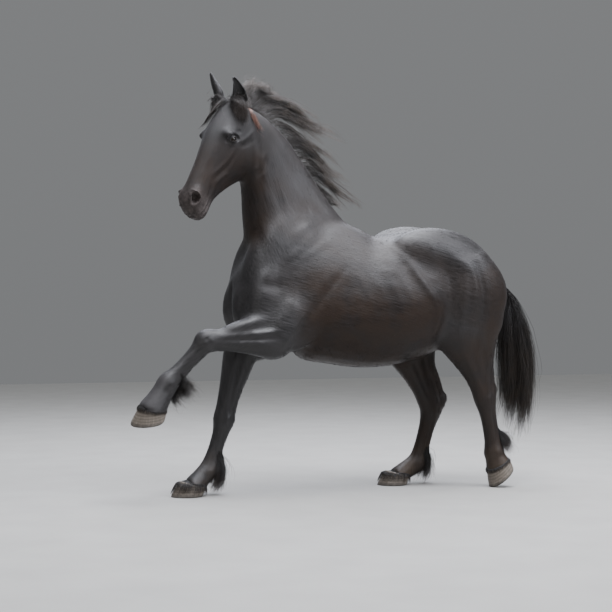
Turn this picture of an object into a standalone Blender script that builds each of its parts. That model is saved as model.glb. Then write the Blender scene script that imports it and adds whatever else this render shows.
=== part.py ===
"""A Friesian horse at life size, striding with its left foreleg raised.

Metres, +Z up. The horse faces -X, its left side is -Y, and it stands on Z = 0.
"""

import math

import bmesh
import bpy
import numpy as np
from mathutils import Matrix, Vector

# Joints of each leg, as (X, Z) in the leg's own upright plane, and the plane's Y at the top and at the foot.
# The foot is the middle of the sole; a pitch below 0 turns the toe down, and a roll above 0 the left edge.
# The instep is how much of the pastern's front is left where it is bent flat over the hoof.
LEGS = {
    "fore_left": dict(
        side=-1,
        y=(-0.185, -0.205),
        joints=dict(top=(-0.40, 1.11), elbow=(-0.545, 0.878), knee=(-0.948, 0.884), fetlock=(-1.165, 0.664)),
        foot=(-1.278, 0.448),
        pitch=-8,
        roll=14,
        instep=1.0,
    ),
    "fore_right": dict(
        side=1,
        y=(0.185, 0.090),
        joints=dict(top=(-0.45, 1.10), elbow=(-0.622, 0.820), knee=(-0.733, 0.425), fetlock=(-0.836, 0.145)),
        foot=(-0.966, 0.0),
        pitch=0,
        roll=0,
        instep=0.58,
    ),
    "hind_left": dict(
        side=-1,
        y=(-0.165, -0.170),
        joints=dict(
            top=(0.62, 1.36),
            seat=(0.68, 1.17),
            stifle=(0.70, 0.90),
            hock=(0.807, 0.525),
            fetlock=(0.866, 0.212),
        ),
        foot=(0.922, 0.061),
        pitch=-42,
        roll=0,
        instep=1.0,
    ),
    "hind_right": dict(
        side=1,
        y=(0.165, 0.160),
        joints=dict(
            top=(0.60, 1.38),
            seat=(0.60, 1.17),
            stifle=(0.455, 0.90),
            hock=(0.614, 0.452),
            fetlock=(0.518, 0.130),
        ),
        foot=(0.354, 0.0),
        pitch=0,
        roll=0,
        instep=0.46,
    ),
}

# Leg girths, as (bone, share of its length, front, back, side). A bone is named by its lower joint.
FORE_GIRTHS = (
    ("elbow", 0.10, 0.120, 0.125, 0.070),
    ("elbow", 0.60, 0.118, 0.118, 0.082),
    ("knee", 0.00, 0.104, 0.102, 0.079),
    ("knee", 0.20, 0.098, 0.090, 0.073),
    ("knee", 0.45, 0.084, 0.072, 0.062),
    ("knee", 0.70, 0.074, 0.060, 0.054),
    ("knee", 0.88, 0.070, 0.060, 0.055),
    ("fetlock", 0.00, 0.072, 0.064, 0.060),
    ("fetlock", 0.12, 0.062, 0.060, 0.056),
    ("fetlock", 0.24, 0.050, 0.055, 0.047),
    ("fetlock", 0.50, 0.044, 0.051, 0.041),
    ("fetlock", 0.80, 0.048, 0.057, 0.045),
    ("coronet", 0.00, 0.062, 0.068, 0.057),
    ("coronet", 0.35, 0.062, 0.064, 0.058),
    ("coronet", 0.70, 0.070, 0.070, 0.067),
    ("coronet", 1.00, 0.082, 0.080, 0.078),
    ("coronet", 1.15, 0.082, 0.080, 0.078),
)
HIND_GIRTHS = (
    ("seat", 0.00, 0.200, 0.190, 0.110),
    ("seat", 0.99, 0.250, 0.270, 0.130),
    ("stifle", 0.50, 0.230, 0.245, 0.120),
    ("stifle", 0.95, 0.215, 0.220, 0.104),
    ("hock", 0.22, 0.168, 0.165, 0.086),
    ("hock", 0.45, 0.120, 0.122, 0.070),
    ("hock", 0.70, 0.083, 0.096, 0.056),
    ("hock", 0.88, 0.073, 0.086, 0.055),
    ("fetlock", 0.00, 0.070, 0.074, 0.059),
    ("fetlock", 0.12, 0.062, 0.068, 0.055),
    ("fetlock", 0.26, 0.051, 0.060, 0.047),
    ("fetlock", 0.52, 0.047, 0.057, 0.042),
    ("fetlock", 0.82, 0.051, 0.060, 0.045),
    ("coronet", 0.00, 0.066, 0.068, 0.058),
    ("coronet", 0.35, 0.066, 0.064, 0.058),
    ("coronet", 0.70, 0.072, 0.070, 0.067),
    ("coronet", 1.00, 0.082, 0.080, 0.078),
    ("coronet", 1.15, 0.082, 0.080, 0.078),
)

# Trunk, from the tail forwards: (X, top Z, bottom Z, half width, egg).
TRUNK_RINGS = (
    (0.960, 1.250, 1.060, 0.060, 0.0),
    (0.900, 1.350, 0.990, 0.140, 0.0),
    (0.780, 1.455, 0.930, 0.200, 0.0),
    (0.640, 1.530, 0.890, 0.245, 0.0),
    (0.500, 1.550, 0.825, 0.275, 0.0),
    (0.350, 1.525, 0.760, 0.305, 0.05),
    (0.200, 1.503, 0.724, 0.320, 0.10),
    (0.050, 1.505, 0.718, 0.312, 0.16),
    (-0.100, 1.570, 0.736, 0.285, 0.26),
    (-0.250, 1.610, 0.768, 0.255, 0.30),
    (-0.400, 1.560, 0.810, 0.230, 0.24),
    (-0.550, 1.420, 0.860, 0.205, 0.05),
    (-0.660, 1.330, 0.930, 0.160, 0.0),
    (-0.735, 1.220, 1.020, 0.080, 0.0),
)

# Neck, from the chest upwards: (X, Y, Z) on its axis, crest side, throat side, half width, egg.
NECK_RINGS = (
    (-0.200, 0.000, 1.170, 0.390, 0.250, 0.190, 0.24),
    (-0.330, 0.000, 1.330, 0.398, 0.270, 0.165, 0.32),
    (-0.415, 0.000, 1.490, 0.360, 0.245, 0.140, 0.36),
    (-0.475, -0.005, 1.640, 0.316, 0.206, 0.122, 0.38),
    (-0.535, -0.020, 1.800, 0.262, 0.158, 0.108, 0.38),
    (-0.605, -0.050, 1.950, 0.208, 0.132, 0.098, 0.32),
    (-0.680, -0.080, 2.070, 0.142, 0.112, 0.088, 0.20),
    (-0.750, -0.100, 2.140, 0.085, 0.088, 0.070, 0.10),
)

# Head: the poll's place, and how the face is turned, in degrees.
POLL = Vector((-0.775, -0.103, 2.225))
FACE_YAW, FACE_PITCH, FACE_ROLL = 27, 27, 3
HEAD_LENGTH = 0.72
# Head, from the poll to the lips: (share of length, face line, jaw line, then half widths at 5 depths).
HEAD_RINGS = (
    (0.00, 0.025, -0.150, 0.045, 0.072, 0.085, 0.080, 0.050),
    (0.10, 0.050, -0.225, 0.062, 0.092, 0.098, 0.086, 0.055),
    (0.22, 0.067, -0.290, 0.076, 0.108, 0.110, 0.088, 0.052),
    (0.34, 0.073, -0.322, 0.078, 0.110, 0.108, 0.086, 0.050),
    (0.46, 0.070, -0.295, 0.064, 0.093, 0.098, 0.074, 0.040),
    (0.58, 0.064, -0.233, 0.054, 0.075, 0.082, 0.062, 0.035),
    (0.70, 0.063, -0.178, 0.050, 0.067, 0.069, 0.056, 0.034),
    (0.80, 0.062, -0.146, 0.049, 0.066, 0.069, 0.058, 0.038),
    (0.89, 0.054, -0.141, 0.049, 0.071, 0.072, 0.062, 0.044),
    (0.96, 0.030, -0.135, 0.044, 0.064, 0.067, 0.059, 0.043),
    (1.00, -0.010, -0.108, 0.024, 0.038, 0.042, 0.038, 0.028),
)

# Eye: how far back from the poll line, out from the middle, and down the face, and its radius.
EYE_BACK, EYE_OUT, EYE_DOWN, EYE_RADIUS = 0.034, 0.092, 0.235, 0.025

# Ears, in the head's frame: (x, outward y, z, front, back, half width) from root to tip.
EAR_ROWS = (
    (0.040, 0.066, -0.045, 0.034, 0.034, 0.046),
    (0.012, 0.076, -0.006, 0.036, 0.036, 0.046),
    (-0.020, 0.084, 0.024, 0.033, 0.034, 0.045),
    (-0.052, 0.088, 0.049, 0.024, 0.027, 0.036),
    (-0.083, 0.087, 0.068, 0.014, 0.017, 0.022),
    (-0.112, 0.083, 0.083, 0.007, 0.008, 0.009),
)
# How far each ear is turned from there, by its side.
EAR_SHIFTS = {-1: (-0.010, 0.0, -0.007), 1: (-0.026, 0.018, 0.026)}

# Hoof: half the sole's length and width, heights of the coronet in front and behind, and its set-back.
HOOF_HALF_LENGTH, HOOF_HALF_WIDTH = 0.099, 0.085
CORONET_HALF_LENGTH, CORONET_HALF_WIDTH = 0.074, 0.072
CORONET_FRONT, CORONET_BACK = 0.086, 0.048
CORONET_SET_BACK = 0.028
# The sole's length behind its middle, as a share of that in front.
HEEL_SHARE = 0.82

# Muscles, as (start, end, depth, width); those of the head are in its own frame.
HEAD_MUSCLES = (
    ((-0.002, 0.090, -0.188), (-0.004, 0.092, -0.262), 0.038, 0.040),
    ((0.160, 0.070, -0.110), (0.185, 0.064, -0.330), 0.115, 0.036),
    ((-0.022, 0.052, -0.570), (-0.004, 0.054, -0.670), 0.040, 0.032),
)
FORE_MUSCLES = (
    ((-0.05, 0.085, 1.460), (-0.68, 0.165, 1.070), 0.105, 0.070),
    ((-0.56, 0.150, 1.330), (-0.65, 0.165, 0.940), 0.098, 0.076),
    ((-0.66, 0.078, 1.250), (-0.66, 0.085, 0.900), 0.105, 0.082),
    ((-0.56, 0.088, 1.520), (-0.67, 0.098, 1.020), 0.095, 0.084),
    ((-0.44, 0.098, 1.640), (-0.64, 0.150, 1.100), 0.110, 0.066),
    ((-0.28, 0.100, 1.560), (-0.58, 0.150, 1.130), 0.130, 0.074),
)
# The muscle over a lifted forearm, from the shoulder to the knee.
RAISED_FOREARM = ((-0.47, -0.185, 1.040), (-0.90, -0.195, 0.920), 0.045, 0.060)
TRICEPS = ((-0.08, 0.165, 1.300), (0.05, 0.0, -0.050), 0.125, 0.085)
HIND_MUSCLES = (
    ((0.18, 0.170, 1.410), (0.86, 0.135, 1.310), 0.190, 0.120),
    ((0.62, 0.130, 1.420), (0.93, 0.120, 1.060), 0.120, 0.105),
)
# The point of the hock above and behind its joint, the bone up to it and the tendon on from it.
HOCK_RISE, HOCK_SET_BACK = 0.085, 0.075
HOCK_BONE = ((0.02, 0, -0.05), (0.01, 0, 0.02), 0.036, 0.032)
HOCK_TENDON = ((0.0, 0, -0.03), (0.12, 0, -0.06), 0.026, 0.022)
# The right hip is carried higher than the left.
HIP_LIFTS = {-1: -0.004, 1: 0.022}

GAP = 0.0003
HAIR_GAP = 0.002

SECTION_POINTS = 28
BLEND_STEPS = 4
# The least half width of any section.
THINNEST = 0.004


def cubic_rows(rows, steps=BLEND_STEPS):
    """Rows of numbers with more rows between them, on a Catmull-Rom curve."""
    table = np.array(rows, float)
    ends = np.vstack([2 * table[0] - table[1], table, 2 * table[-1] - table[-2]])
    made = []
    for i in range(len(table) - 1):
        a, b, c, d = ends[i : i + 4]
        for k in range(steps):
            t = k / steps
            square, cube = 2 * a - 5 * b + 4 * c - d, 3 * b - a - 3 * c + d
            made.append((2 * b + (c - a) * t + square * t * t + cube * t ** 3) / 2)
    made.append(table[-1])
    return np.array(made)


def skin_rings(bm, rings):
    """Faces between rings of points, with a cap on each end."""
    loops = [[bm.verts.new(p) for p in ring] for ring in rings]
    count = len(loops[0])
    for low, high in zip(loops, loops[1:]):
        for i in range(count):
            j = (i + 1) % count
            bm.faces.new((low[i], low[j], high[j], high[i]))
    bm.faces.new(loops[0][::-1])
    bm.faces.new(loops[-1])


def oval(centre, over, aside, plus, minus, half, egg=0.0, power=2.0):
    """Points round an egg-shaped section: plus and minus reach along over, and half along aside."""
    points = []
    for i in range(SECTION_POINTS):
        turn = 2 * math.pi * i / SECTION_POINTS
        c, s = math.cos(turn), math.sin(turn)
        up = math.copysign(abs(c) ** (2 / power), c) * (plus if c > 0 else minus)
        out = math.copysign(abs(s) ** (2 / power), s) * half * (1 - egg * c)
        points.append(centre + over * up + aside * out)
    return points


def tube(bm, rows, aside=(0, 1, 0), power=2.0):
    """A loft along rows of (x, y, z, plus, minus, half, egg). Plus points along aside x travel."""
    rows = cubic_rows(rows)
    centres = rows[:, :3]
    ahead = np.gradient(centres, axis=0)
    aside = Vector(aside).normalized()
    rings = []
    for row, way in zip(rows, ahead):
        over = aside.cross(Vector(way)).normalized()
        reach = np.maximum(row[3:6], THINNEST)
        rings.append(oval(Vector(row[:3]), over, aside, *reach, row[6], power))
    skin_rings(bm, rings)


def muscle(bm, start, end, deep, wide, aside=(0, 1, 0)):
    """An ellipsoid from start to end: deep in the plane of the limb, wide along aside."""
    start, end = Vector(start), Vector(end)
    along = (end - start).normalized()
    out = Vector(aside)
    out = (out - along * out.dot(along)).normalized()
    turn = Matrix((out.cross(along), out, along)).transposed().to_4x4()
    size = Matrix.Diagonal((deep, wide, (end - start).length / 2, 1))
    place = Matrix.Translation((start + end) / 2) @ turn @ size
    bmesh.ops.create_uvsphere(bm, u_segments=24, v_segments=16, radius=1, matrix=place)


def foot_matrix(leg):
    """From a hoof's own frame, toe to -X and ground at Z 0, to its place."""
    x, z = leg["foot"]
    turn = Matrix.Rotation(math.radians(leg["pitch"]), 4, "Y")
    turn = turn @ Matrix.Rotation(math.radians(leg["roll"]), 4, "X")
    return Matrix.Translation((x, leg["y"][1], z)) @ turn


CORONET_CENTRE = Vector((CORONET_SET_BACK, 0, (CORONET_FRONT + CORONET_BACK) / 2))


def leg_joints(leg):
    """The leg's joints as points, with the coronet added."""
    names = list(leg["joints"])
    made = {}
    for i, name in enumerate(names):
        x, z = leg["joints"][name]
        share = i / len(names)
        y = leg["y"][0] + (leg["y"][1] - leg["y"][0]) * share
        made[name] = Vector((x, y, z))
    made["coronet"] = foot_matrix(leg) @ CORONET_CENTRE
    return made


def leg_rows(leg, girths):
    joints = leg_joints(leg)
    names = list(joints)
    rows = []
    for bone, share, front, back, half in girths:
        if bone == "coronet":
            front *= 1 - (1 - leg["instep"]) * share
        low = joints[bone]
        high = joints[names[names.index(bone) - 1]]
        rows.append((*(high + (low - high) * share), front, back, half, 0.0))
    return rows


def head_matrix():
    """From the head's own frame, poll at the origin, lips to -Z and brow to -X, to its place."""
    turn = Matrix.Rotation(math.radians(FACE_YAW), 4, "Z")
    turn = turn @ Matrix.Rotation(math.radians(FACE_ROLL), 4, "X")
    turn = turn @ Matrix.Rotation(math.radians(FACE_PITCH), 4, "Y")
    return Matrix.Translation(POLL) @ turn


def head_section(place, share, face, jaw, *halves):
    """One ring of the head, from half widths at even depths between the face line and the jaw line."""
    depth = np.array([0.0, 0.08, 0.28, 0.52, 0.78, 0.94, 1.0])
    wide = np.array([0.0, halves[0], halves[1], halves[2], halves[3], halves[4], 0.0])
    half_points = SECTION_POINTS // 2
    turns = np.linspace(0, math.pi, half_points + 1)
    at = (1 - np.cos(turns)) / 2
    width = np.interp(at, depth, wide)
    width[1:-1] = 0.25 * width[:-2] + 0.5 * width[1:-1] + 0.25 * width[2:]
    drop = -share * HEAD_LENGTH
    right = [(-(face + (jaw - face) * a), w, drop) for a, w in zip(at, width)]
    left = [(x, -w, z) for x, w, z in right[-2:0:-1]]
    return [place @ Vector(p) for p in right + left]


def mirrored(point, side):
    """A point given for the right side, on a side."""
    return Vector((point[0], point[1] * side, point[2]))


def ear_rows(side):
    """One ear's rows, in the world's frame."""
    place = head_matrix()
    dx, dy, dz = EAR_SHIFTS[side]
    rows = []
    for x, y, z, front, back, half in EAR_ROWS:
        rows.append((*(place @ mirrored((x + dx, y + dy, z + dz), side)), front, back, half, 0.0))
    return rows


def add_head(bm):
    place = head_matrix()
    turn = place.to_3x3()
    aside = turn @ Vector((0, 1, 0))
    skin_rings(bm, [head_section(place, *row) for row in cubic_rows(HEAD_RINGS)])
    for s in (-1, 1):
        for start, end, deep, wide in HEAD_MUSCLES:
            muscle(bm, place @ mirrored(start, s), place @ mirrored(end, s), deep, wide, aside)
        tube(bm, ear_rows(s), turn @ Vector((0.35, 1.0 * s, 0)))


def add_trunk(bm):
    rows = []
    for x, top, bottom, half, egg in TRUNK_RINGS:
        middle = bottom + (top - bottom) * 0.48
        rows.append((x, 0.0, middle, top - middle, middle - bottom, half, egg))
    tube(bm, rows, power=2.15)


def add_neck(bm):
    tube(bm, NECK_RINGS, power=2.1)


def add_forehand(bm):
    for name in ("fore_left", "fore_right"):
        leg = LEGS[name]
        s = leg["side"]
        for start, end, deep, wide in FORE_MUSCLES:
            muscle(bm, mirrored(start, s), mirrored(end, s), deep, wide)
        start, off, deep, wide = TRICEPS
        muscle(bm, mirrored(start, s), leg_joints(leg)["elbow"] + Vector(off), deep, wide)
        tube(bm, leg_rows(leg, FORE_GIRTHS), power=2.2)
    muscle(bm, *RAISED_FOREARM)


def add_hindquarters(bm):
    for name in ("hind_left", "hind_right"):
        leg = LEGS[name]
        s = leg["side"]
        joints = leg_joints(leg)
        lift = Vector((0, 0, HIP_LIFTS[s]))
        for start, end, deep, wide in HIND_MUSCLES:
            muscle(bm, mirrored(start, s) + lift, mirrored(end, s) + lift, deep, wide)
        tube(bm, leg_rows(leg, HIND_GIRTHS), power=2.2)
        hock = joints["hock"]
        point = hock + (hock - joints["fetlock"]).normalized() * HOCK_RISE + Vector((HOCK_SET_BACK, 0, 0))
        start, end, deep, wide = HOCK_BONE
        muscle(bm, hock + Vector(start), point + Vector(end), deep, wide)
        start, end, deep, wide = HOCK_TENDON
        muscle(bm, point + Vector(start), joints["stifle"] + Vector(end), deep, wide)


def fused(name, makers, voxel):
    """Closed forms, made one by a voxel remesh."""
    bm = bmesh.new()
    for maker in makers:
        maker(bm)
    mesh = bpy.data.meshes.new(name)
    bm.to_mesh(mesh)
    bm.free()
    whole = bpy.data.objects.new(name, mesh)
    bpy.context.scene.collection.objects.link(whole)
    remesh = whole.modifiers.new("fuse", "REMESH")
    remesh.mode = "VOXEL"
    remesh.voxel_size = voxel
    graph = bpy.context.evaluated_depsgraph_get()
    whole.data = bpy.data.meshes.new_from_object(whole.evaluated_get(graph))
    whole.modifiers.clear()
    return whole


def relax(whole, passes, hollow=0.6, crown=0.12):
    """Fills hollow creases with soft skin, and wears crowns down less."""
    mesh = whole.data
    count = len(mesh.vertices)
    co = np.empty(count * 3)
    mesh.vertices.foreach_get("co", co)
    co = co.reshape(-1, 3)
    ends = np.empty(len(mesh.edges) * 2, np.int64)
    mesh.edges.foreach_get("vertices", ends)
    a, b = ends[::2], ends[1::2]
    near = np.bincount(a, minlength=count) + np.bincount(b, minlength=count)
    normal = np.empty(count * 3)
    for turn in range(passes):
        if turn % 4 == 0:
            mesh.vertices.foreach_set("co", co.ravel())
            mesh.update()
            mesh.vertices.foreach_get("normal", normal)
            out = normal.reshape(-1, 3)
        total = np.stack(
            [np.bincount(a, co[b, k], count) + np.bincount(b, co[a, k], count) for k in range(3)], 1
        )
        pull = total / near[:, None] - co
        rise = (pull * out).sum(1, keepdims=True)
        slide = pull - rise * out
        co += 0.5 * slide + np.where(rise > 0, hollow, crown) * rise * out
    mesh.vertices.foreach_set("co", co.ravel())
    mesh.update()


FORMS = (add_trunk, add_neck, add_forehand, add_hindquarters, add_head)

# Hair, as locks of (x, y, z, half thickness) from root to tip. Tail and mane are in the world's frame.
TAIL_LOCKS = (
    (
        (0.945, 0.000, 1.215, 0.045), (1.045, 0.000, 1.150, 0.050), (1.108, 0.030, 1.080, 0.050),
        (1.172, 0.050, 0.955, 0.055), (1.205, 0.065, 0.800, 0.053), (1.210, 0.060, 0.590, 0.042),
        (1.195, 0.050, 0.350, 0.012),
    ),
    (
        (0.945, -0.010, 1.200, 0.045), (1.040, -0.010, 1.130, 0.055), (1.095, -0.005, 1.010, 0.064),
        (1.138, 0.000, 0.850, 0.070), (1.150, 0.000, 0.650, 0.066), (1.140, 0.000, 0.420, 0.045),
        (1.115, 0.000, 0.235, 0.012),
    ),
    (
        (0.945, -0.020, 1.190, 0.040), (1.020, -0.030, 1.100, 0.050), (1.055, -0.050, 0.950, 0.055),
        (1.075, -0.060, 0.770, 0.058), (1.080, -0.055, 0.570, 0.050), (1.065, -0.045, 0.400, 0.030),
        (1.045, -0.040, 0.330, 0.010),
    ),
    (
        (0.945, 0.020, 1.180, 0.040), (1.010, 0.020, 1.090, 0.048), (1.035, 0.025, 0.930, 0.050),
        (1.045, 0.030, 0.760, 0.050), (1.050, 0.025, 0.600, 0.042), (1.030, 0.020, 0.440, 0.012),
    ),
)
MANE_LOCKS = (
    (
        (-0.697, -0.085, 2.213, 0.026), (-0.668, -0.060, 2.285, 0.034), (-0.608, -0.020, 2.325, 0.030),
        (-0.532, 0.020, 2.325, 0.026), (-0.484, 0.050, 2.285, 0.012),
    ),
    (
        (-0.657, -0.075, 2.200, 0.030), (-0.565, -0.020, 2.250, 0.040), (-0.429, 0.030, 2.235, 0.040),
        (-0.286, 0.060, 2.175, 0.034), (-0.115, 0.090, 2.095, 0.024), (0.058, 0.100, 2.045, 0.010),
    ),
    (
        (-0.578, -0.055, 2.160, 0.034), (-0.478, 0.000, 2.190, 0.044), (-0.345, 0.040, 2.145, 0.044),
        (-0.213, 0.070, 2.088, 0.036), (-0.085, 0.100, 2.045, 0.024), (0.023, 0.110, 2.030, 0.010),
    ),
    (
        (-0.509, -0.035, 2.100, 0.034), (-0.412, 0.010, 2.100, 0.044), (-0.297, 0.050, 2.042, 0.044),
        (-0.183, 0.080, 1.985, 0.036), (-0.081, 0.110, 1.935, 0.026), (-0.005, 0.120, 1.900, 0.010),
    ),
    (
        (-0.424, -0.020, 2.010, 0.034), (-0.334, 0.020, 2.003, 0.044), (-0.223, 0.060, 1.943, 0.042),
        (-0.122, 0.090, 1.880, 0.034), (-0.025, 0.120, 1.825, 0.024), (0.058, 0.130, 1.788, 0.010),
    ),
    (
        (-0.346, -0.010, 1.922, 0.034), (-0.261, 0.030, 1.910, 0.042), (-0.160, 0.060, 1.850, 0.040),
        (-0.057, 0.090, 1.797, 0.032), (0.034, 0.120, 1.762, 0.022), (0.097, 0.130, 1.745, 0.010),
    ),
    (
        (-0.277, -0.010, 1.830, 0.032), (-0.198, 0.030, 1.815, 0.038), (-0.102, 0.060, 1.760, 0.036),
        (-0.005, 0.090, 1.705, 0.030), (0.075, 0.110, 1.655, 0.022), (0.145, 0.120, 1.615, 0.010),
    ),
    (
        (-0.214, -0.010, 1.740, 0.030), (-0.157, 0.020, 1.725, 0.030), (-0.098, 0.040, 1.682, 0.028),
        (-0.042, 0.050, 1.642, 0.022), (0.007, 0.060, 1.612, 0.010),
    ),
    (
        (-0.600, -0.020, 2.120, 0.034), (-0.560, 0.080, 2.070, 0.040), (-0.500, 0.130, 1.930, 0.046),
        (-0.430, 0.160, 1.780, 0.042), (-0.380, 0.180, 1.620, 0.014),
    ),
    (
        (-0.450, -0.010, 2.000, 0.034), (-0.420, 0.090, 1.930, 0.040), (-0.360, 0.140, 1.800, 0.046),
        (-0.300, 0.170, 1.660, 0.040), (-0.250, 0.190, 1.520, 0.014),
    ),
    (
        (-0.330, -0.010, 1.870, 0.034), (-0.290, 0.090, 1.800, 0.038), (-0.230, 0.140, 1.700, 0.040),
        (-0.170, 0.160, 1.580, 0.034), (-0.130, 0.165, 1.480, 0.012),
    ),
)
# The forelock is in the head's frame.
FORELOCK_LOCKS = (
    (
        (0.020, 0.000, 0.030, 0.022), (-0.035, 0.010, -0.010, 0.022), (-0.070, 0.045, -0.080, 0.020),
        (-0.075, 0.085, -0.150, 0.012),
    ),
    (
        (0.020, 0.000, 0.030, 0.022), (-0.030, -0.020, 0.000, 0.022), (-0.030, -0.070, -0.050, 0.020),
        (0.030, -0.105, -0.120, 0.014),
    ),
)
# Feathers are measured from the fetlock.
FORE_FEATHER = (
    (
        (0.040, 0.000, 0.110, 0.024), (0.052, 0.000, 0.010, 0.036), (0.040, 0.000, -0.060, 0.040),
        (0.006, 0.000, -0.118, 0.020),
    ),
    (
        (0.030, 0.030, 0.070, 0.018), (0.036, 0.040, -0.010, 0.026), (0.010, 0.046, -0.066, 0.028),
        (-0.030, 0.052, -0.118, 0.012),
    ),
    (
        (0.030, -0.030, 0.070, 0.018), (0.036, -0.040, -0.010, 0.026), (0.010, -0.046, -0.066, 0.028),
        (-0.030, -0.052, -0.118, 0.012),
    ),
)
HIND_FEATHER = (
    (
        (0.040, 0.000, 0.110, 0.022), (0.050, 0.000, 0.010, 0.032), (0.046, 0.000, -0.054, 0.032),
        (0.040, 0.000, -0.110, 0.016),
    ),
    (
        (0.034, 0.026, 0.080, 0.018), (0.042, 0.034, 0.000, 0.024), (0.032, 0.042, -0.056, 0.026),
        (0.010, 0.046, -0.108, 0.012),
    ),
    (
        (0.034, -0.026, 0.080, 0.018), (0.042, -0.034, 0.000, 0.024), (0.032, -0.042, -0.056, 0.026),
        (0.010, -0.046, -0.108, 0.012),
    ),
)
RAISED_FEATHER = (
    (
        (0.040, 0.000, 0.030, 0.022), (0.085, -0.012, -0.010, 0.032), (0.125, -0.014, -0.040, 0.028),
        (0.160, -0.014, -0.052, 0.012),
    ),
    (
        (0.030, 0.000, -0.020, 0.022), (0.070, 0.000, -0.050, 0.030), (0.110, 0.000, -0.070, 0.026),
        (0.145, 0.000, -0.092, 0.010),
    ),
    (
        (0.010, 0.006, -0.060, 0.020), (0.040, 0.010, -0.075, 0.026), (0.070, 0.010, -0.086, 0.022),
        (0.095, 0.010, -0.096, 0.010),
    ),
)
TIPTOE_FEATHER = (
    (
        (0.030, 0.000, 0.140, 0.018), (0.066, 0.000, 0.080, 0.026), (0.080, 0.000, 0.030, 0.030),
        (0.094, 0.000, -0.010, 0.014),
    ),
    (
        (0.026, 0.022, 0.100, 0.018), (0.058, 0.026, 0.040, 0.024), (0.074, 0.026, -0.006, 0.016),
    ),
    (
        (0.026, -0.022, 0.100, 0.018), (0.058, -0.026, 0.040, 0.024), (0.074, -0.026, -0.006, 0.016),
    ),
)
FEATHER_FORMS = {
    "fore_left": RAISED_FEATHER,
    "fore_right": FORE_FEATHER,
    "hind_left": TIPTOE_FEATHER,
    "hind_right": HIND_FEATHER,
}

# Planes that part the skin, as outlines in X and Z, with a range of Y.
LEG_BLOCKS = {
    "fore_left": (((-1.6, 0.30), (-0.66, 0.30), (-0.69, 1.03), (-1.6, 1.03)), (-0.40, -0.10)),
    "fore_right": (((-1.3, -0.1), (-0.30, -0.1), (-0.30, 0.73), (-1.3, 0.73)), (-0.06, 0.40)),
    "hind_left": (((0.45, -0.1), (1.4, -0.1), (1.4, 0.73), (0.45, 0.73)), (-0.40, -0.01)),
    "hind_right": (((0.10, -0.1), (1.0, -0.1), (1.0, 0.73), (0.36, 0.73), (0.10, 0.50)), (0.01, 0.40)),
}
NECK_BLOCK_POINT, NECK_BLOCK_WAY = (-0.40, 1.42), (-0.505, 0.863)
HEAD_BLOCK = ((-0.40, -1.00), (0.300, -1.00), (0.300, -0.27), (0.10, 0.05), (0.04, 0.14), (-0.40, 0.14))
# An ear's outline in the head's X and Z, and its reach outwards.
EAR_BLOCK = ((-0.016, -0.042), (0.024, 0.014), (-0.10, 0.14), (-0.17, 0.07))
EAR_REACH = (0.040, 0.25)

SHARP_ANGLE = 40
HEAD_REACH = 0.30
FAR_REACH = 1.2
BODY_VOXEL, HAIR_VOXEL = 0.012, 0.014
BODY_TRIANGLES = 3750
HAIR_TRIANGLES = {"mane": 560, "tail": 280, "forelock": 130, "feather": 92}

MATERIALS = {
    "coat": ((0.012, 0.010, 0.009), 0.45),
    "hair": ((0.010, 0.009, 0.009), 0.55),
    "horn": ((0.23, 0.19, 0.15), 0.60),
    "eyeball": ((0.010, 0.006, 0.004), 0.10),
}


def linked(name, bm):
    mesh = bpy.data.meshes.new(name)
    bm.to_mesh(mesh)
    bm.free()
    made = bpy.data.objects.new(name, mesh)
    bpy.context.scene.collection.objects.link(made)
    return made


def applied(thing, kind, **settings):
    """The thing with one modifier made real."""
    step = thing.modifiers.new("step", kind)
    for key, value in settings.items():
        setattr(step, key, value)
    graph = bpy.context.evaluated_depsgraph_get()
    thing.data = bpy.data.meshes.new_from_object(thing.evaluated_get(graph))
    thing.modifiers.clear()
    return thing


def lighten(thing, triangles):
    """The thing with about that many triangles."""
    thing.data.calc_loop_triangles()
    share = triangles / max(1, len(thing.data.loop_triangles))
    return applied(thing, "DECIMATE", ratio=min(1.0, share), use_collapse_triangulate=True)


def copied(thing, name):
    made = thing.copy()
    made.data = thing.data.copy()
    made.name = name
    bpy.context.scene.collection.objects.link(made)
    return made


def swollen(thing, by):
    """A copy moved outwards along its normals."""
    made = copied(thing, "swollen")
    mesh = made.data
    for v, n in zip(mesh.vertices, [Vector(v.normal) for v in mesh.vertices]):
        v.co += n * by
    mesh.update()
    return made


def combined(thing, other, how):
    return applied(thing, "BOOLEAN", operation=how, solver="EXACT", object=other)


def largest(thing):
    """The thing with its biggest piece alone."""
    bm = bmesh.new()
    bm.from_mesh(thing.data)
    left = set(bm.verts)
    best = []
    while left:
        group = [left.pop()]
        for v in group:
            for edge in v.link_edges:
                other = edge.other_vert(v)
                if other in left:
                    left.remove(other)
                    group.append(other)
        if len(group) > len(best):
            best = group
    keep = set(best)
    bmesh.ops.delete(bm, geom=[v for v in bm.verts if v not in keep], context="VERTS")
    bm.to_mesh(thing.data)
    bm.free()
    return thing


def removed(*things):
    for thing in things:
        bpy.data.objects.remove(thing)


def moved_out(outline, by):
    """A convex outline, counter-clockwise, with each side moved outwards."""
    count = len(outline)
    lines = []
    for i in range(count):
        (x0, z0), (x1, z1) = outline[i], outline[(i + 1) % count]
        size = math.hypot(x1 - x0, z1 - z0)
        nx, nz = (z1 - z0) / size, -(x1 - x0) / size
        lines.append((nx, nz, nx * x0 + nz * z0 + by))
    made = []
    for i in range(count):
        (a, b, c), (d, e, f) = lines[i - 1], lines[i]
        cross = a * e - b * d
        made.append(((c * e - b * f) / cross, (a * f - c * d) / cross))
    return made


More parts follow.
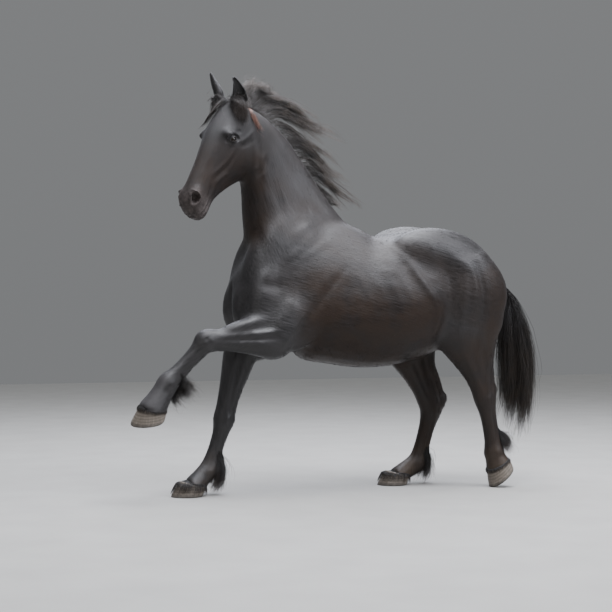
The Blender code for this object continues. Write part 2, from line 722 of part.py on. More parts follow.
def block(outline, reach, place, by=0.0):
    """A prism on an outline of (x, z), from reach[0] to reach[1] in y."""
    bm = bmesh.new()
    around = moved_out(outline, by)
    rings = [[place @ Vector((x, y, z)) for x, z in around] for y in (reach[0] - by, reach[1] + by)]
    skin_rings(bm, rings)
    bmesh.ops.recalc_face_normals(bm, faces=bm.faces)
    return linked("block", bm)


def carved(whole, name, outline, reach, place=Matrix()):
    """The part of the whole inside a block, with the block cut out of the whole."""
    inner = block(outline, reach, place)
    outer = block(outline, reach, place, GAP)
    piece = largest(combined(copied(whole, name), inner, "INTERSECT"))
    largest(combined(whole, outer, "DIFFERENCE"))
    removed(inner, outer)
    return piece


def beyond(point, way, reach=FAR_REACH):
    """The outline of all that lies beyond a plane through a point."""
    (x, z), (dx, dz) = point, way
    size = math.hypot(dx, dz)
    dx, dz = dx / size * reach, dz / size * reach
    return ((x + dz, z - dx), (x + dz + dx, z - dx + dz), (x - dz + dx, z + dx + dz), (x - dz, z + dx))


def hoof(name, leg):
    """A horn capsule with a flat sole; where it stands on its toe, the toe is worn flat."""
    place = foot_matrix(leg)
    count = 32
    low, high = [], []
    slope = (CORONET_FRONT - CORONET_BACK) / (2 * CORONET_HALF_LENGTH)
    for i in range(count):
        c, s = math.cos(2 * math.pi * i / count), math.sin(2 * math.pi * i / count)
        back = HEEL_SHARE if c > 0 else 1.0
        low.append(place @ Vector((HOOF_HALF_LENGTH * c * back, HOOF_HALF_WIDTH * s, 0)))
        x = CORONET_HALF_LENGTH * c
        z = (CORONET_FRONT + CORONET_BACK) / 2 - slope * x
        high.append(place @ Vector((CORONET_SET_BACK + x, CORONET_HALF_WIDTH * s, z)))
    bm = bmesh.new()
    skin_rings(bm, [low, high])
    bmesh.ops.recalc_face_normals(bm, faces=bm.faces)
    made = linked(name, bm)
    if place.translation.z < HOOF_HALF_LENGTH and leg["pitch"]:
        ground = block(((-3, -1), (3, -1), (3, 0), (-3, 0)), (-1, 1), Matrix())
        combined(made, ground, "DIFFERENCE")
        removed(ground)
    return made


def coronet_outline():
    """All that lies below the coronet's plane, in the foot's frame."""
    slope = (CORONET_FRONT - CORONET_BACK) / (2 * CORONET_HALF_LENGTH)
    return beyond((CORONET_CENTRE.x, CORONET_CENTRE.z + GAP), (-slope, -1), 0.2)


def hair(name, locks, kind, keep_off, place=Matrix()):
    """Locks fused into one solid, kept off the skin."""
    def maker(bm):
        for lock in locks:
            rows = [(*(place @ Vector(row[:3])), row[3], row[3], row[3] * 0.8, 0.0) for row in lock]
            tube(bm, rows, place.to_3x3() @ Vector((0.03, 1, 0.02)))

    made = fused(name, (maker,), HAIR_VOXEL)
    relax(made, 6)
    lighten(made, HAIR_TRIANGLES[kind])
    for thing in keep_off:
        around = swollen(thing, HAIR_GAP)
        largest(combined(made, around, "DIFFERENCE"))
        removed(around)
    return made


def leg_parts(whole, name, leg, parts):
    """The leg's nodes: upper leg, cannon, pastern and hoof."""
    outline, reach = LEG_BLOCKS[name]
    upper_name = "forearm_" if name.startswith("fore") else "gaskin_"
    joint = "knee" if name.startswith("fore") else "hock"
    joints = leg_joints(leg)
    leg_names = list(joints)
    upper = carved(whole, upper_name + name, outline, reach)

    def below(piece, new_name, key, share):
        here = joints[key]
        back = joints[leg_names[leg_names.index(key) - 1]]
        ahead = joints[leg_names[leg_names.index(key) + 1]]
        way = (ahead - here).normalized()
        point = here + way * share
        tilt = way + (here - back).normalized() * 0.5
        return carved(piece, new_name, beyond((point.x, point.z), (tilt.x, tilt.z)), (-1, 1))

    cannon = below(upper, "cannon_" + name, joint, 0.05)
    pastern = below(cannon, "pastern_" + name, "fetlock", 0.0)
    horn = hoof("hoof_" + name, leg)
    spare = carved(pastern, "spare", coronet_outline(), (-0.3, 0.3), foot_matrix(leg))
    removed(spare)
    parts["coat"] += [upper, cannon, pastern]
    parts["horn"].append(horn)
    locks = FEATHER_FORMS[name]
    root = Matrix.Translation(joints["fetlock"])
    parts["hair"].append(hair("feather_" + name, locks, "feather", (cannon, pastern, horn), root))


def main():
    for thing in list(bpy.data.objects):
        bpy.data.objects.remove(thing)
    whole = fused("trunk", FORMS, BODY_VOXEL)
    relax(whole, 30)
    lighten(whole, BODY_TRIANGLES)
    parts = {"coat": [whole], "hair": [], "horn": [], "eyeball": []}
    place = head_matrix()

    mane = hair("mane", MANE_LOCKS, "mane", (whole,))
    tail = hair("tail", TAIL_LOCKS, "tail", (whole,))
    forelock = hair("forelock", FORELOCK_LOCKS, "forelock", (whole, mane), place)
    parts["hair"] += [mane, tail, forelock]

    for name, leg in LEGS.items():
        leg_parts(whole, name, leg, parts)

    upper = carved(whole, "neck", beyond(NECK_BLOCK_POINT, NECK_BLOCK_WAY), (-1, 1))
    for side, s in (("left", -1), ("right", 1)):
        dx, dy, dz = EAR_SHIFTS[s]
        outline = [(x + dx, z + dz) for x, z in EAR_BLOCK]
        reach = sorted((y + dy) * s for y in EAR_REACH)
        parts["coat"].append(carved(upper, "ear_" + side, outline, reach, place))
    head = carved(upper, "head", HEAD_BLOCK, (-HEAD_REACH, HEAD_REACH), place)
    parts["coat"] += [upper, head]
    for side, s in (("left", -1), ("right", 1)):
        bm = bmesh.new()
        centre = place @ Vector((EYE_BACK, EYE_OUT * s, -EYE_DOWN))
        spot = Matrix.Translation(centre)
        bmesh.ops.create_uvsphere(bm, u_segments=16, v_segments=10, radius=EYE_RADIUS, matrix=spot)
        eye = linked("eye_" + side, bm)
        socket = swollen(eye, GAP)
        combined(head, socket, "DIFFERENCE")
        removed(socket)
        parts["eyeball"].append(eye)

    for kind, things in parts.items():
        for thing in things:
            thing.data.polygons.foreach_set("use_smooth", [True] * len(thing.data.polygons))
            thing.data.set_sharp_from_angle(angle=math.radians(SHARP_ANGLE))
            material = bpy.data.materials.new(thing.name)
            material.use_nodes = True
            shader = material.node_tree.nodes["Principled BSDF"]
            colour, rough = MATERIALS[kind]
            shader.inputs["Base Color"].default_value = (*colour, 1)
            shader.inputs["Roughness"].default_value = rough
            thing.data.materials.clear()
            thing.data.materials.append(material)
    corners = [v.co for thing in bpy.data.objects for v in thing.data.vertices]
    middle = [(min(c[k] for c in corners) + max(c[k] for c in corners)) / 2 for k in range(2)]
    for thing in bpy.data.objects:
        thing.data.transform(Matrix.Translation((-middle[0], -middle[1], 0)))


if __name__ == "__main__":
    main()
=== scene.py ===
"""Skin, hair, eyes and hooves of a life-size Friesian horse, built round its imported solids.

Metres, +Z up. The horse faces -X and its left side is -Y. Forms are worked out in the model's own
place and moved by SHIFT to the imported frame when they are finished.
"""

import math
from functools import cache, partial

import bmesh
import bpy
import numpy as np
from mathutils import Matrix, Vector
from mathutils.bvhtree import BVHTree


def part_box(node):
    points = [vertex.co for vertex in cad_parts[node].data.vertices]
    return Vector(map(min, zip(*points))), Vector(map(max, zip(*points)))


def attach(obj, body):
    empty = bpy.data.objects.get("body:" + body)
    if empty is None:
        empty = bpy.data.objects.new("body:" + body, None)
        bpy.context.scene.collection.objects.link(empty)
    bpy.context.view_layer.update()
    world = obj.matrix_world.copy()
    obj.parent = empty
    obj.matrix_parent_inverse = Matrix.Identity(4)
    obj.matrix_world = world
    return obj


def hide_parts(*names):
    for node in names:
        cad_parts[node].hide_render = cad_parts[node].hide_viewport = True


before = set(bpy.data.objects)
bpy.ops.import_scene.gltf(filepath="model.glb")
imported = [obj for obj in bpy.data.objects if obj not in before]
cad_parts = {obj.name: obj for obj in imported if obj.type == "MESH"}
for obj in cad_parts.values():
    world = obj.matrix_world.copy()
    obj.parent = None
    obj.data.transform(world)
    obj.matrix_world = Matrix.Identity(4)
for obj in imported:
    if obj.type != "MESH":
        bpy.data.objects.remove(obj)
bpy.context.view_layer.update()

bl_info = {
    "name": "Friesian Horse",
    "version": (1, 0, 0),
    "blender": (4, 5, 0),
    "location": "View3D > Sidebar > Horse",
    "description": "Builds the skin, coat, long hair, eyes and hooves of a life-size Friesian horse",
    "category": "Object",
}

# ---- The horse's form, as in its solids ----

LEGS = {
    "fore_left": dict(
        side=-1, y=(-0.185, -0.205), foot=(-1.278, 0.448), pitch=-8, roll=14, instep=1.0,
        joints=dict(top=(-0.40, 1.11), elbow=(-0.545, 0.878), knee=(-0.948, 0.884), fetlock=(-1.165, 0.664)),
    ),
    "fore_right": dict(
        side=1, y=(0.185, 0.090), foot=(-0.966, 0.0), pitch=0, roll=0, instep=0.58,
        joints=dict(top=(-0.45, 1.10), elbow=(-0.622, 0.820), knee=(-0.733, 0.425), fetlock=(-0.836, 0.145)),
    ),
    "hind_left": dict(
        side=-1, y=(-0.165, -0.170), foot=(0.922, 0.061), pitch=-42, roll=0, instep=1.0,
        joints=dict(
            top=(0.62, 1.36), seat=(0.68, 1.17), stifle=(0.7, 0.9), hock=(0.807, 0.525),
            fetlock=(0.866, 0.212),
        ),
    ),
    "hind_right": dict(
        side=1, y=(0.165, 0.160), foot=(0.354, 0.0), pitch=0, roll=0, instep=0.46,
        joints=dict(
            top=(0.6, 1.38), seat=(0.6, 1.17), stifle=(0.455, 0.9), hock=(0.614, 0.452),
            fetlock=(0.518, 0.13),
        ),
    ),
}

# Leg girths along each bone, as (share of its length, front, back, side). A bone is named by its lower joint.
FORE_GIRTHS = {
    "elbow": ((0.1, 0.12, 0.125, 0.07), (0.6, 0.118, 0.118, 0.082)),
    "knee": ((0, 0.104, 0.102, 0.079), (0.2, 0.098, 0.09, 0.073), (0.45, 0.084, 0.072, 0.062),
         (0.7, 0.074, 0.06, 0.054), (0.88, 0.07, 0.06, 0.055)),
    "fetlock": ((0, 0.072, 0.064, 0.06), (0.12, 0.062, 0.06, 0.056), (0.24, 0.05, 0.055, 0.047),
         (0.5, 0.044, 0.051, 0.041), (0.8, 0.048, 0.057, 0.045)),
    "coronet": ((0, 0.062, 0.068, 0.057), (0.35, 0.062, 0.064, 0.058), (0.7, 0.07, 0.07, 0.067),
         (1, 0.082, 0.08, 0.078), (1.15, 0.082, 0.08, 0.078)),
}
HIND_GIRTHS = {
    "seat": ((0, 0.2, 0.19, 0.11), (0.99, 0.25, 0.27, 0.13)),
    "stifle": ((0.5, 0.23, 0.245, 0.12), (0.95, 0.215, 0.22, 0.104)),
    "hock": ((0.22, 0.168, 0.165, 0.086), (0.45, 0.12, 0.122, 0.07), (0.7, 0.083, 0.096, 0.056),
         (0.88, 0.073, 0.086, 0.055)),
    "fetlock": ((0, 0.07, 0.074, 0.059), (0.12, 0.062, 0.068, 0.055), (0.26, 0.051, 0.06, 0.047),
         (0.52, 0.047, 0.057, 0.042), (0.82, 0.051, 0.06, 0.045)),
    "coronet": ((0, 0.066, 0.068, 0.058), (0.35, 0.066, 0.064, 0.058), (0.7, 0.072, 0.07, 0.067),
         (1, 0.082, 0.08, 0.078), (1.15, 0.082, 0.08, 0.078)),
}

# Trunk, from the tail forwards: (X, top Z, bottom Z, half width, egg).
TRUNK_RINGS = (
    (0.96, 1.25, 1.06, 0.06, 0),
    (0.9, 1.35, 0.99, 0.14, 0),
    (0.78, 1.455, 0.93, 0.2, 0),
    (0.64, 1.53, 0.89, 0.245, 0),
    (0.5, 1.55, 0.825, 0.275, 0),
    (0.35, 1.525, 0.76, 0.305, 0.05),
    (0.2, 1.503, 0.724, 0.32, 0.1),
    (0.05, 1.505, 0.718, 0.312, 0.16),
    (-0.1, 1.57, 0.736, 0.285, 0.26),
    (-0.25, 1.61, 0.768, 0.255, 0.3),
    (-0.4, 1.56, 0.81, 0.23, 0.24),
    (-0.55, 1.42, 0.86, 0.205, 0.05),
    (-0.66, 1.33, 0.93, 0.16, 0),
    (-0.735, 1.22, 1.02, 0.08, 0),
)

# Neck, from the chest upwards: (X, Y, Z) on its axis, crest side, throat side, half width, egg.
NECK_RINGS = (
    (-0.2, 0, 1.17, 0.39, 0.25, 0.19, 0.24),
    (-0.33, 0, 1.33, 0.398, 0.27, 0.165, 0.32),
    (-0.415, 0, 1.49, 0.36, 0.245, 0.14, 0.36),
    (-0.475, -0.005, 1.64, 0.316, 0.206, 0.122, 0.38),
    (-0.535, -0.02, 1.8, 0.262, 0.158, 0.108, 0.38),
    (-0.605, -0.05, 1.95, 0.208, 0.132, 0.098, 0.32),
    (-0.68, -0.08, 2.07, 0.142, 0.112, 0.088, 0.2),
    (-0.75, -0.1, 2.14, 0.085, 0.088, 0.07, 0.1),
)

# Head: the poll's place, and how the face is turned, in degrees.
POLL = Vector((-0.775, -0.103, 2.225))
FACE_YAW, FACE_PITCH, FACE_ROLL = 27, 27, 3
HEAD_LENGTH = 0.72
# Head, from the poll to the lips: (share of length, face line, jaw line, then half widths at 5 depths).
HEAD_RINGS = (
    (0, 0.025, -0.15, 0.045, 0.072, 0.085, 0.08, 0.05),
    (0.1, 0.05, -0.225, 0.062, 0.092, 0.098, 0.086, 0.055),
    (0.22, 0.067, -0.29, 0.076, 0.108, 0.11, 0.088, 0.052),
    (0.34, 0.073, -0.322, 0.078, 0.11, 0.108, 0.086, 0.05),
    (0.46, 0.07, -0.295, 0.064, 0.093, 0.098, 0.074, 0.04),
    (0.58, 0.064, -0.233, 0.054, 0.075, 0.082, 0.062, 0.035),
    (0.7, 0.063, -0.178, 0.05, 0.067, 0.069, 0.056, 0.034),
    (0.8, 0.062, -0.146, 0.049, 0.066, 0.069, 0.058, 0.038),
    (0.89, 0.054, -0.141, 0.049, 0.071, 0.072, 0.062, 0.044),
    (0.96, 0.03, -0.135, 0.044, 0.064, 0.067, 0.059, 0.043),
    (1, -0.01, -0.108, 0.024, 0.038, 0.042, 0.038, 0.028),
)

# Eye: how far back from the poll line, out from the middle, and down the face, and its radius.
EYE_BACK, EYE_OUT, EYE_DOWN, EYE_RADIUS = 0.034, 0.092, 0.235, 0.025

# Ears, in the head's frame: (x, outward y, z, front, back, half width) from root to tip.
EAR_ROWS = (
    (0.04, 0.066, -0.045, 0.034, 0.034, 0.046),
    (0.012, 0.076, -0.006, 0.036, 0.036, 0.046),
    (-0.02, 0.084, 0.024, 0.033, 0.034, 0.045),
    (-0.052, 0.088, 0.049, 0.024, 0.027, 0.036),
    (-0.083, 0.087, 0.068, 0.014, 0.017, 0.022),
    (-0.112, 0.083, 0.083, 0.007, 0.008, 0.009),
)
# How far each ear is turned from there, by its side.
EAR_SHIFTS = {-1: (-0.010, 0.0, -0.007), 1: (-0.026, 0.018, 0.026)}

# Hoof: half the sole's length and width, heights of the coronet in front and behind, and its set-back.
HOOF_HALF_LENGTH, HOOF_HALF_WIDTH = 0.099, 0.085
CORONET_HALF_LENGTH, CORONET_HALF_WIDTH = 0.074, 0.072
CORONET_FRONT, CORONET_BACK = 0.086, 0.048
CORONET_SET_BACK = 0.028
CORONET_CENTRE = Vector((CORONET_SET_BACK, 0, (CORONET_FRONT + CORONET_BACK) / 2))
CORONET_SLOPE = (CORONET_FRONT - CORONET_BACK) / (2 * CORONET_HALF_LENGTH)

# Muscles, as (start, end, depth, width); those of the head are in its own frame.
HEAD_MUSCLES = (
    ((-0.002, 0.09, -0.188), (-0.004, 0.092, -0.262), 0.038, 0.04),
    ((0.16, 0.07, -0.11), (0.185, 0.064, -0.33), 0.115, 0.036),
    ((-0.022, 0.052, -0.57), (-0.004, 0.054, -0.67), 0.04, 0.032),
)
FORE_MUSCLES = (
    ((-0.05, 0.085, 1.46), (-0.68, 0.165, 1.07), 0.105, 0.07),
    ((-0.56, 0.15, 1.33), (-0.65, 0.165, 0.94), 0.098, 0.076),
    ((-0.66, 0.078, 1.25), (-0.66, 0.085, 0.9), 0.105, 0.082),
    ((-0.56, 0.088, 1.52), (-0.67, 0.098, 1.02), 0.095, 0.084),
    ((-0.44, 0.098, 1.64), (-0.64, 0.15, 1.1), 0.11, 0.066),
    ((-0.28, 0.1, 1.56), (-0.58, 0.15, 1.13), 0.13, 0.074),
)
# The muscle over a lifted forearm, from the shoulder to the knee.
RAISED_FOREARM = ((-0.47, -0.185, 1.040), (-0.90, -0.195, 0.920), 0.045, 0.060)
TRICEPS = ((-0.08, 0.165, 1.300), (0.05, 0.0, -0.050), 0.125, 0.085)
HIND_MUSCLES = (
    ((0.18, 0.17, 1.41), (0.86, 0.135, 1.31), 0.19, 0.12),
    ((0.62, 0.13, 1.42), (0.93, 0.12, 1.06), 0.12, 0.105),
)
# The point of the hock above and behind its joint, the bone up to it and the tendon on from it.
HOCK_RISE, HOCK_SET_BACK = 0.085, 0.075
HOCK_BONE = ((0.02, 0, -0.05), (0.01, 0, 0.02), 0.036, 0.032)
HOCK_TENDON = ((0.0, 0, -0.03), (0.12, 0, -0.06), 0.026, 0.022)
# The right hip is carried higher than the left.
HIP_LIFTS = {-1: -0.004, 1: 0.022}

SECTION_POINTS = 28
BLEND_STEPS = 4
# The least half width of any section.
THINNEST = 0.004


def cubic_rows(rows, steps=BLEND_STEPS):
    """Rows of numbers with more rows between them, on a Catmull-Rom curve."""
    table = np.array(rows, float)
    ends = np.vstack([2 * table[0] - table[1], table, 2 * table[-1] - table[-2]])
    made = []
    for i in range(len(table) - 1):
        a, b, c, d = ends[i : i + 4]
        for k in range(steps):
            t = k / steps
            square, cube = 2 * a - 5 * b + 4 * c - d, 3 * b - a - 3 * c + d
            made.append((2 * b + (c - a) * t + square * t * t + cube * t ** 3) / 2)
    made.append(table[-1])
    return np.array(made)


def skin_rings(bm, rings):
    """Faces between rings of points, with a cap on each end."""
    loops = [[bm.verts.new(p) for p in ring] for ring in rings]
    count = len(loops[0])
    for low, high in zip(loops, loops[1:]):
        for i in range(count):
            j = (i + 1) % count
            bm.faces.new((low[i], low[j], high[j], high[i]))
    bm.faces.new(loops[0][::-1])
    bm.faces.new(loops[-1])


def oval(centre, over, aside, plus, minus, half, egg=0.0, power=2.0):
    """Points round an egg-shaped section: plus and minus reach along over, and half along aside."""
    points = []
    for i in range(SECTION_POINTS):
        turn = 2 * math.pi * i / SECTION_POINTS
        c, s = math.cos(turn), math.sin(turn)
        up = math.copysign(abs(c) ** (2 / power), c) * (plus if c > 0 else minus)
        out = math.copysign(abs(s) ** (2 / power), s) * half * (1 - egg * c)
        points.append(centre + over * up + aside * out)
    return points


def tube(bm, rows, aside=(0, 1, 0), power=2.0):
    """A loft along rows of (x, y, z, plus, minus, half, egg). Plus points along aside x travel."""
    rows = cubic_rows(rows)
    centres = rows[:, :3]
    ahead = np.gradient(centres, axis=0)
    aside = Vector(aside).normalized()
    rings = []
    for row, way in zip(rows, ahead):
        over = aside.cross(Vector(way)).normalized()
        reach = np.maximum(row[3:6], THINNEST)
        rings.append(oval(Vector(row[:3]), over, aside, *reach, row[6], power))
    skin_rings(bm, rings)


def muscle(bm, start, end, deep, wide, aside=(0, 1, 0)):
    """An ellipsoid from start to end: deep in the plane of the limb, wide along aside."""
    start, end = Vector(start), Vector(end)
    along = (end - start).normalized()
    out = Vector(aside)
    out = (out - along * out.dot(along)).normalized()
    turn = Matrix((out.cross(along), out, along)).transposed().to_4x4()
    size = Matrix.Diagonal((deep, wide, (end - start).length / 2, 1))
    place = Matrix.Translation((start + end) / 2) @ turn @ size
    bmesh.ops.create_uvsphere(bm, u_segments=24, v_segments=16, radius=1, matrix=place)


def foot_matrix(leg):
    """From a hoof's own frame, toe to -X and ground at Z 0, to its place."""
    x, z = leg["foot"]
    turn = Matrix.Rotation(math.radians(leg["pitch"]), 4, "Y")
    turn = turn @ Matrix.Rotation(math.radians(leg["roll"]), 4, "X")
    return Matrix.Translation((x, leg["y"][1], z)) @ turn


def leg_joints(leg):
    """The leg's joints as points, with the coronet added."""
    names = list(leg["joints"])
    made = {}
    for i, name in enumerate(names):
        x, z = leg["joints"][name]
        share = i / len(names)
        y = leg["y"][0] + (leg["y"][1] - leg["y"][0]) * share
        made[name] = Vector((x, y, z))
    made["coronet"] = foot_matrix(leg) @ CORONET_CENTRE
    return made


def leg_rows(leg, girths):
    joints = leg_joints(leg)
    names = list(joints)
    rows = []
    for bone, sections in girths.items():
        low, high = joints[bone], joints[names[names.index(bone) - 1]]
        for share, front, back, half in sections:
            if bone == "coronet":
                front *= 1 - (1 - leg["instep"]) * share
            rows.append((*(high + (low - high) * share), front, back, half, 0))
    return rows


def head_matrix():
    """From the head's own frame, poll at the origin, lips to -Z and brow to -X, to its place."""
    turn = Matrix.Rotation(math.radians(FACE_YAW), 4, "Z")
    turn = turn @ Matrix.Rotation(math.radians(FACE_ROLL), 4, "X")
    turn = turn @ Matrix.Rotation(math.radians(FACE_PITCH), 4, "Y")
    return Matrix.Translation(POLL) @ turn


def head_section(place, share, face, jaw, *halves):
    """One ring of the head, from half widths at even depths between the face line and the jaw line."""
    depth = np.array([0.0, 0.08, 0.28, 0.52, 0.78, 0.94, 1.0])
    wide = np.array([0.0, halves[0], halves[1], halves[2], halves[3], halves[4], 0.0])
    half_points = SECTION_POINTS // 2
    turns = np.linspace(0, math.pi, half_points + 1)
    at = (1 - np.cos(turns)) / 2
    width = np.interp(at, depth, wide)
    width[1:-1] = 0.25 * width[:-2] + 0.5 * width[1:-1] + 0.25 * width[2:]
    drop = -share * HEAD_LENGTH
    right = [(-(face + (jaw - face) * a), w, drop) for a, w in zip(at, width)]
    left = [(x, -w, z) for x, w, z in right[-2:0:-1]]
    return [place @ Vector(p) for p in right + left]


def mirrored(point, side):
    """A point given for the right side, on a side."""
    return Vector((point[0], point[1] * side, point[2]))


def ear_rows(side):
    """One ear's rows, in the world's frame."""
    place = head_matrix()
    dx, dy, dz = EAR_SHIFTS[side]
    rows = []
    for x, y, z, front, back, half in EAR_ROWS:
        rows.append((*(place @ mirrored((x + dx, y + dy, z + dz), side)), front, back, half, 0.0))
    return rows


def add_head(bm):
    place = head_matrix()
    turn = place.to_3x3()
    aside = turn @ Vector((0, 1, 0))
    skin_rings(bm, [head_section(place, *row) for row in cubic_rows(HEAD_RINGS)])
    for s in (-1, 1):
        for start, end, deep, wide in HEAD_MUSCLES:
            muscle(bm, place @ mirrored(start, s), place @ mirrored(end, s), deep, wide, aside)
        tube(bm, ear_rows(s), turn @ Vector((0.35, 1.0 * s, 0)))


def add_trunk(bm):
    rows = []
    for x, top, bottom, half, egg in TRUNK_RINGS:
        middle = bottom + (top - bottom) * 0.48
        rows.append((x, 0.0, middle, top - middle, middle - bottom, half, egg))
    tube(bm, rows, power=2.15)


def add_neck(bm):
    tube(bm, NECK_RINGS, power=2.1)


def add_forehand(bm):
    for name in ("fore_left", "fore_right"):
        leg = LEGS[name]
        s = leg["side"]
        for start, end, deep, wide in FORE_MUSCLES:
            muscle(bm, mirrored(start, s), mirrored(end, s), deep, wide)
        start, off, deep, wide = TRICEPS
        muscle(bm, mirrored(start, s), leg_joints(leg)["elbow"] + Vector(off), deep, wide)
        tube(bm, leg_rows(leg, FORE_GIRTHS), power=2.2)
    muscle(bm, *RAISED_FOREARM)


def add_hindquarters(bm):
    for name in ("hind_left", "hind_right"):
        leg = LEGS[name]
        s = leg["side"]
        joints = leg_joints(leg)
        lift = Vector((0, 0, HIP_LIFTS[s]))
        for start, end, deep, wide in HIND_MUSCLES:
            muscle(bm, mirrored(start, s) + lift, mirrored(end, s) + lift, deep, wide)
        tube(bm, leg_rows(leg, HIND_GIRTHS), power=2.2)
        hock = joints["hock"]
        point = hock + (hock - joints["fetlock"]).normalized() * HOCK_RISE + Vector((HOCK_SET_BACK, 0, 0))
        start, end, deep, wide = HOCK_BONE
        muscle(bm, hock + Vector(start), point + Vector(end), deep, wide)
        start, end, deep, wide = HOCK_TENDON
        muscle(bm, point + Vector(start), joints["stifle"] + Vector(end), deep, wide)


FORMS = (add_trunk, add_neck, add_forehand, add_hindquarters, add_head)


def model_shift():
    """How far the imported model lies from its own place, read from the flat right fore hoof."""
    low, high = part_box("hoof_fore_right")
    leg = LEGS["fore_right"]
    return Vector((low.x - (leg["foot"][0] - HOOF_HALF_LENGTH), (low.y + high.y) / 2 - leg["y"][1], 0))


SHIFT = model_shift()
HEAD_PLACE = head_matrix()
HEAD_TURN = np.array(HEAD_PLACE.to_3x3())
COAT_DEPTH = 0.003

# ---- Relief of the skin: ridges (+) and grooves (-), as (height mm, width mm, points) ----

# On both flanks, points as (X, Z).
BODY_RELIEF = (
    (7.5, 26, ((0.165, 1.436), (0.264, 1.329), (0.303, 1.26), (0.362, 1.185), (0.423, 1.099), (0.445, 1),
     (0.413, 0.9))),
    (-9, 40, ((0.47, 1.35), (0.52, 1.26), (0.535, 1.15), (0.53, 1.06), (0.506, 0.98), (0.48, 0.894))),
    (6, 26, ((0.533, 1.38), (0.619, 1.293), (0.607, 1.176), (0.599, 1.059), (0.594, 0.941), (0.611, 0.824))),
    (-3.5, 16, ((0.551, 1.339), (0.585, 1.246), (0.575, 1.117), (0.559, 0.941))),
    (6, 24, ((0.587, 1.375), (0.658, 1.294), (0.678, 1.188), (0.667, 1.06))),
    (-8, 22, ((0.69, 1.33), (0.733, 1.177), (0.73, 1.047), (0.705, 0.912), (0.69, 0.793))),
    (-4.5, 50, ((0.203, 1.334), (0.25, 1.259), (0.28, 1.172))),
    (3.3, 34, ((0.385, 1.432), (0.425, 1.42))),
    (1.8, 22, ((-0.228, 1.565), (-0.313, 1.544), (-0.388, 1.506), (-0.44, 1.465))),
    (-1.6, 18, ((-0.27, 1.535), (-0.35, 1.48), (-0.41, 1.425), (-0.46, 1.39))),
    (2, 22, ((-0.288, 1.5), (-0.322, 1.46), (-0.362, 1.414), (-0.429, 1.361), (-0.49, 1.326))),
    (-1.5, 17, ((-0.24, 1.475), (-0.32, 1.42), (-0.395, 1.36), (-0.46, 1.31))),
    (1.6, 21, ((-0.174, 1.48), (-0.27, 1.41), (-0.367, 1.36), (-0.417, 1.32), (-0.466, 1.285))),
    (-7.2, 34, ((-0.64, 1.205), (-0.575, 1.19), (-0.5, 1.19))),
    (4.4, 55, ((-0.6, 1.29), (-0.53, 1.28))),
    (-5.5, 23, ((-0.133, 1.296), (-0.222, 1.198), (-0.31, 1.084), (-0.39, 0.972), (-0.433, 0.875))),
    (3.3, 39, ((-0.2, 1.27), (-0.29, 1.17), (-0.36, 1.07), (-0.43, 0.97))),
    (3.3, 23, ((-0.398, 1.293), (-0.439, 1.213), (-0.447, 1.112), (-0.482, 1.011))),
    (-3, 29, ((-0.658, 1.78), (-0.633, 1.648), (-0.625, 1.536), (-0.61, 1.424), (-0.596, 1.327))),
    (2.8, 21, ((-0.628, 1.96), (-0.6, 1.88), (-0.59, 1.8))),
    (-2.2, 23, ((-0.565, 2.044), (-0.45, 1.911), (-0.349, 1.792), (-0.249, 1.676), (-0.151, 1.581))),
    (-5, 18, ((-0.698, 1.133), (-0.724, 1.084), (-0.733, 1.028))),
    (0.9, 18, ((-0.08, 1.3), (-0.01, 1.14), (0.03, 0.98))),
    (0.9, 18, ((0, 1.3), (0.08, 1.14), (0.12, 0.99))),
    (0.9, 18, ((0.08, 1.31), (0.16, 1.16), (0.2, 1.02))),
    (0.8, 18, ((0.15, 1.31), (0.23, 1.18), (0.27, 1.06))),
    (1.7, 23, ((-0.48, 1.76), (-0.44, 1.64), (-0.41, 1.54))),
    (-1.7, 21, ((-0.52, 1.76), (-0.49, 1.64), (-0.47, 1.54))),
    (5, 8, ((-0.395, 1.03), (-0.44, 0.97), (-0.48, 0.905), (-0.525, 0.855))),
    (-6, 10, ((-0.368, 1.02), (-0.412, 0.955), (-0.452, 0.89), (-0.49, 0.84))),
    (-6, 12, ((-0.636, 2.04), (-0.622, 1.96), (-0.616, 1.88), (-0.622, 1.8))),
    (3, 10, ((-0.664, 2.03), (-0.65, 1.95), (-0.644, 1.88), (-0.652, 1.82))),
)

# Single lines anywhere, points as (X, Y, Z).
MIDDLE_RELIEF = (
    (-12, 18, ((-0.735, 0, 1.22), (-0.76, 0, 1.12), (-0.74, 0, 1))),
    (-7, 16, ((0.56, 0, 1.58), (0.7, 0, 1.52), (0.83, 0, 1.42))),
    (-5, 10, ((-0.25, 0, 0.77), (0.1, 0, 0.73), (0.35, 0, 0.76))),
    (-14, 20, ((0.9, 0, 1.06), (0.84, 0, 0.96), (0.78, 0, 0.9))),
)

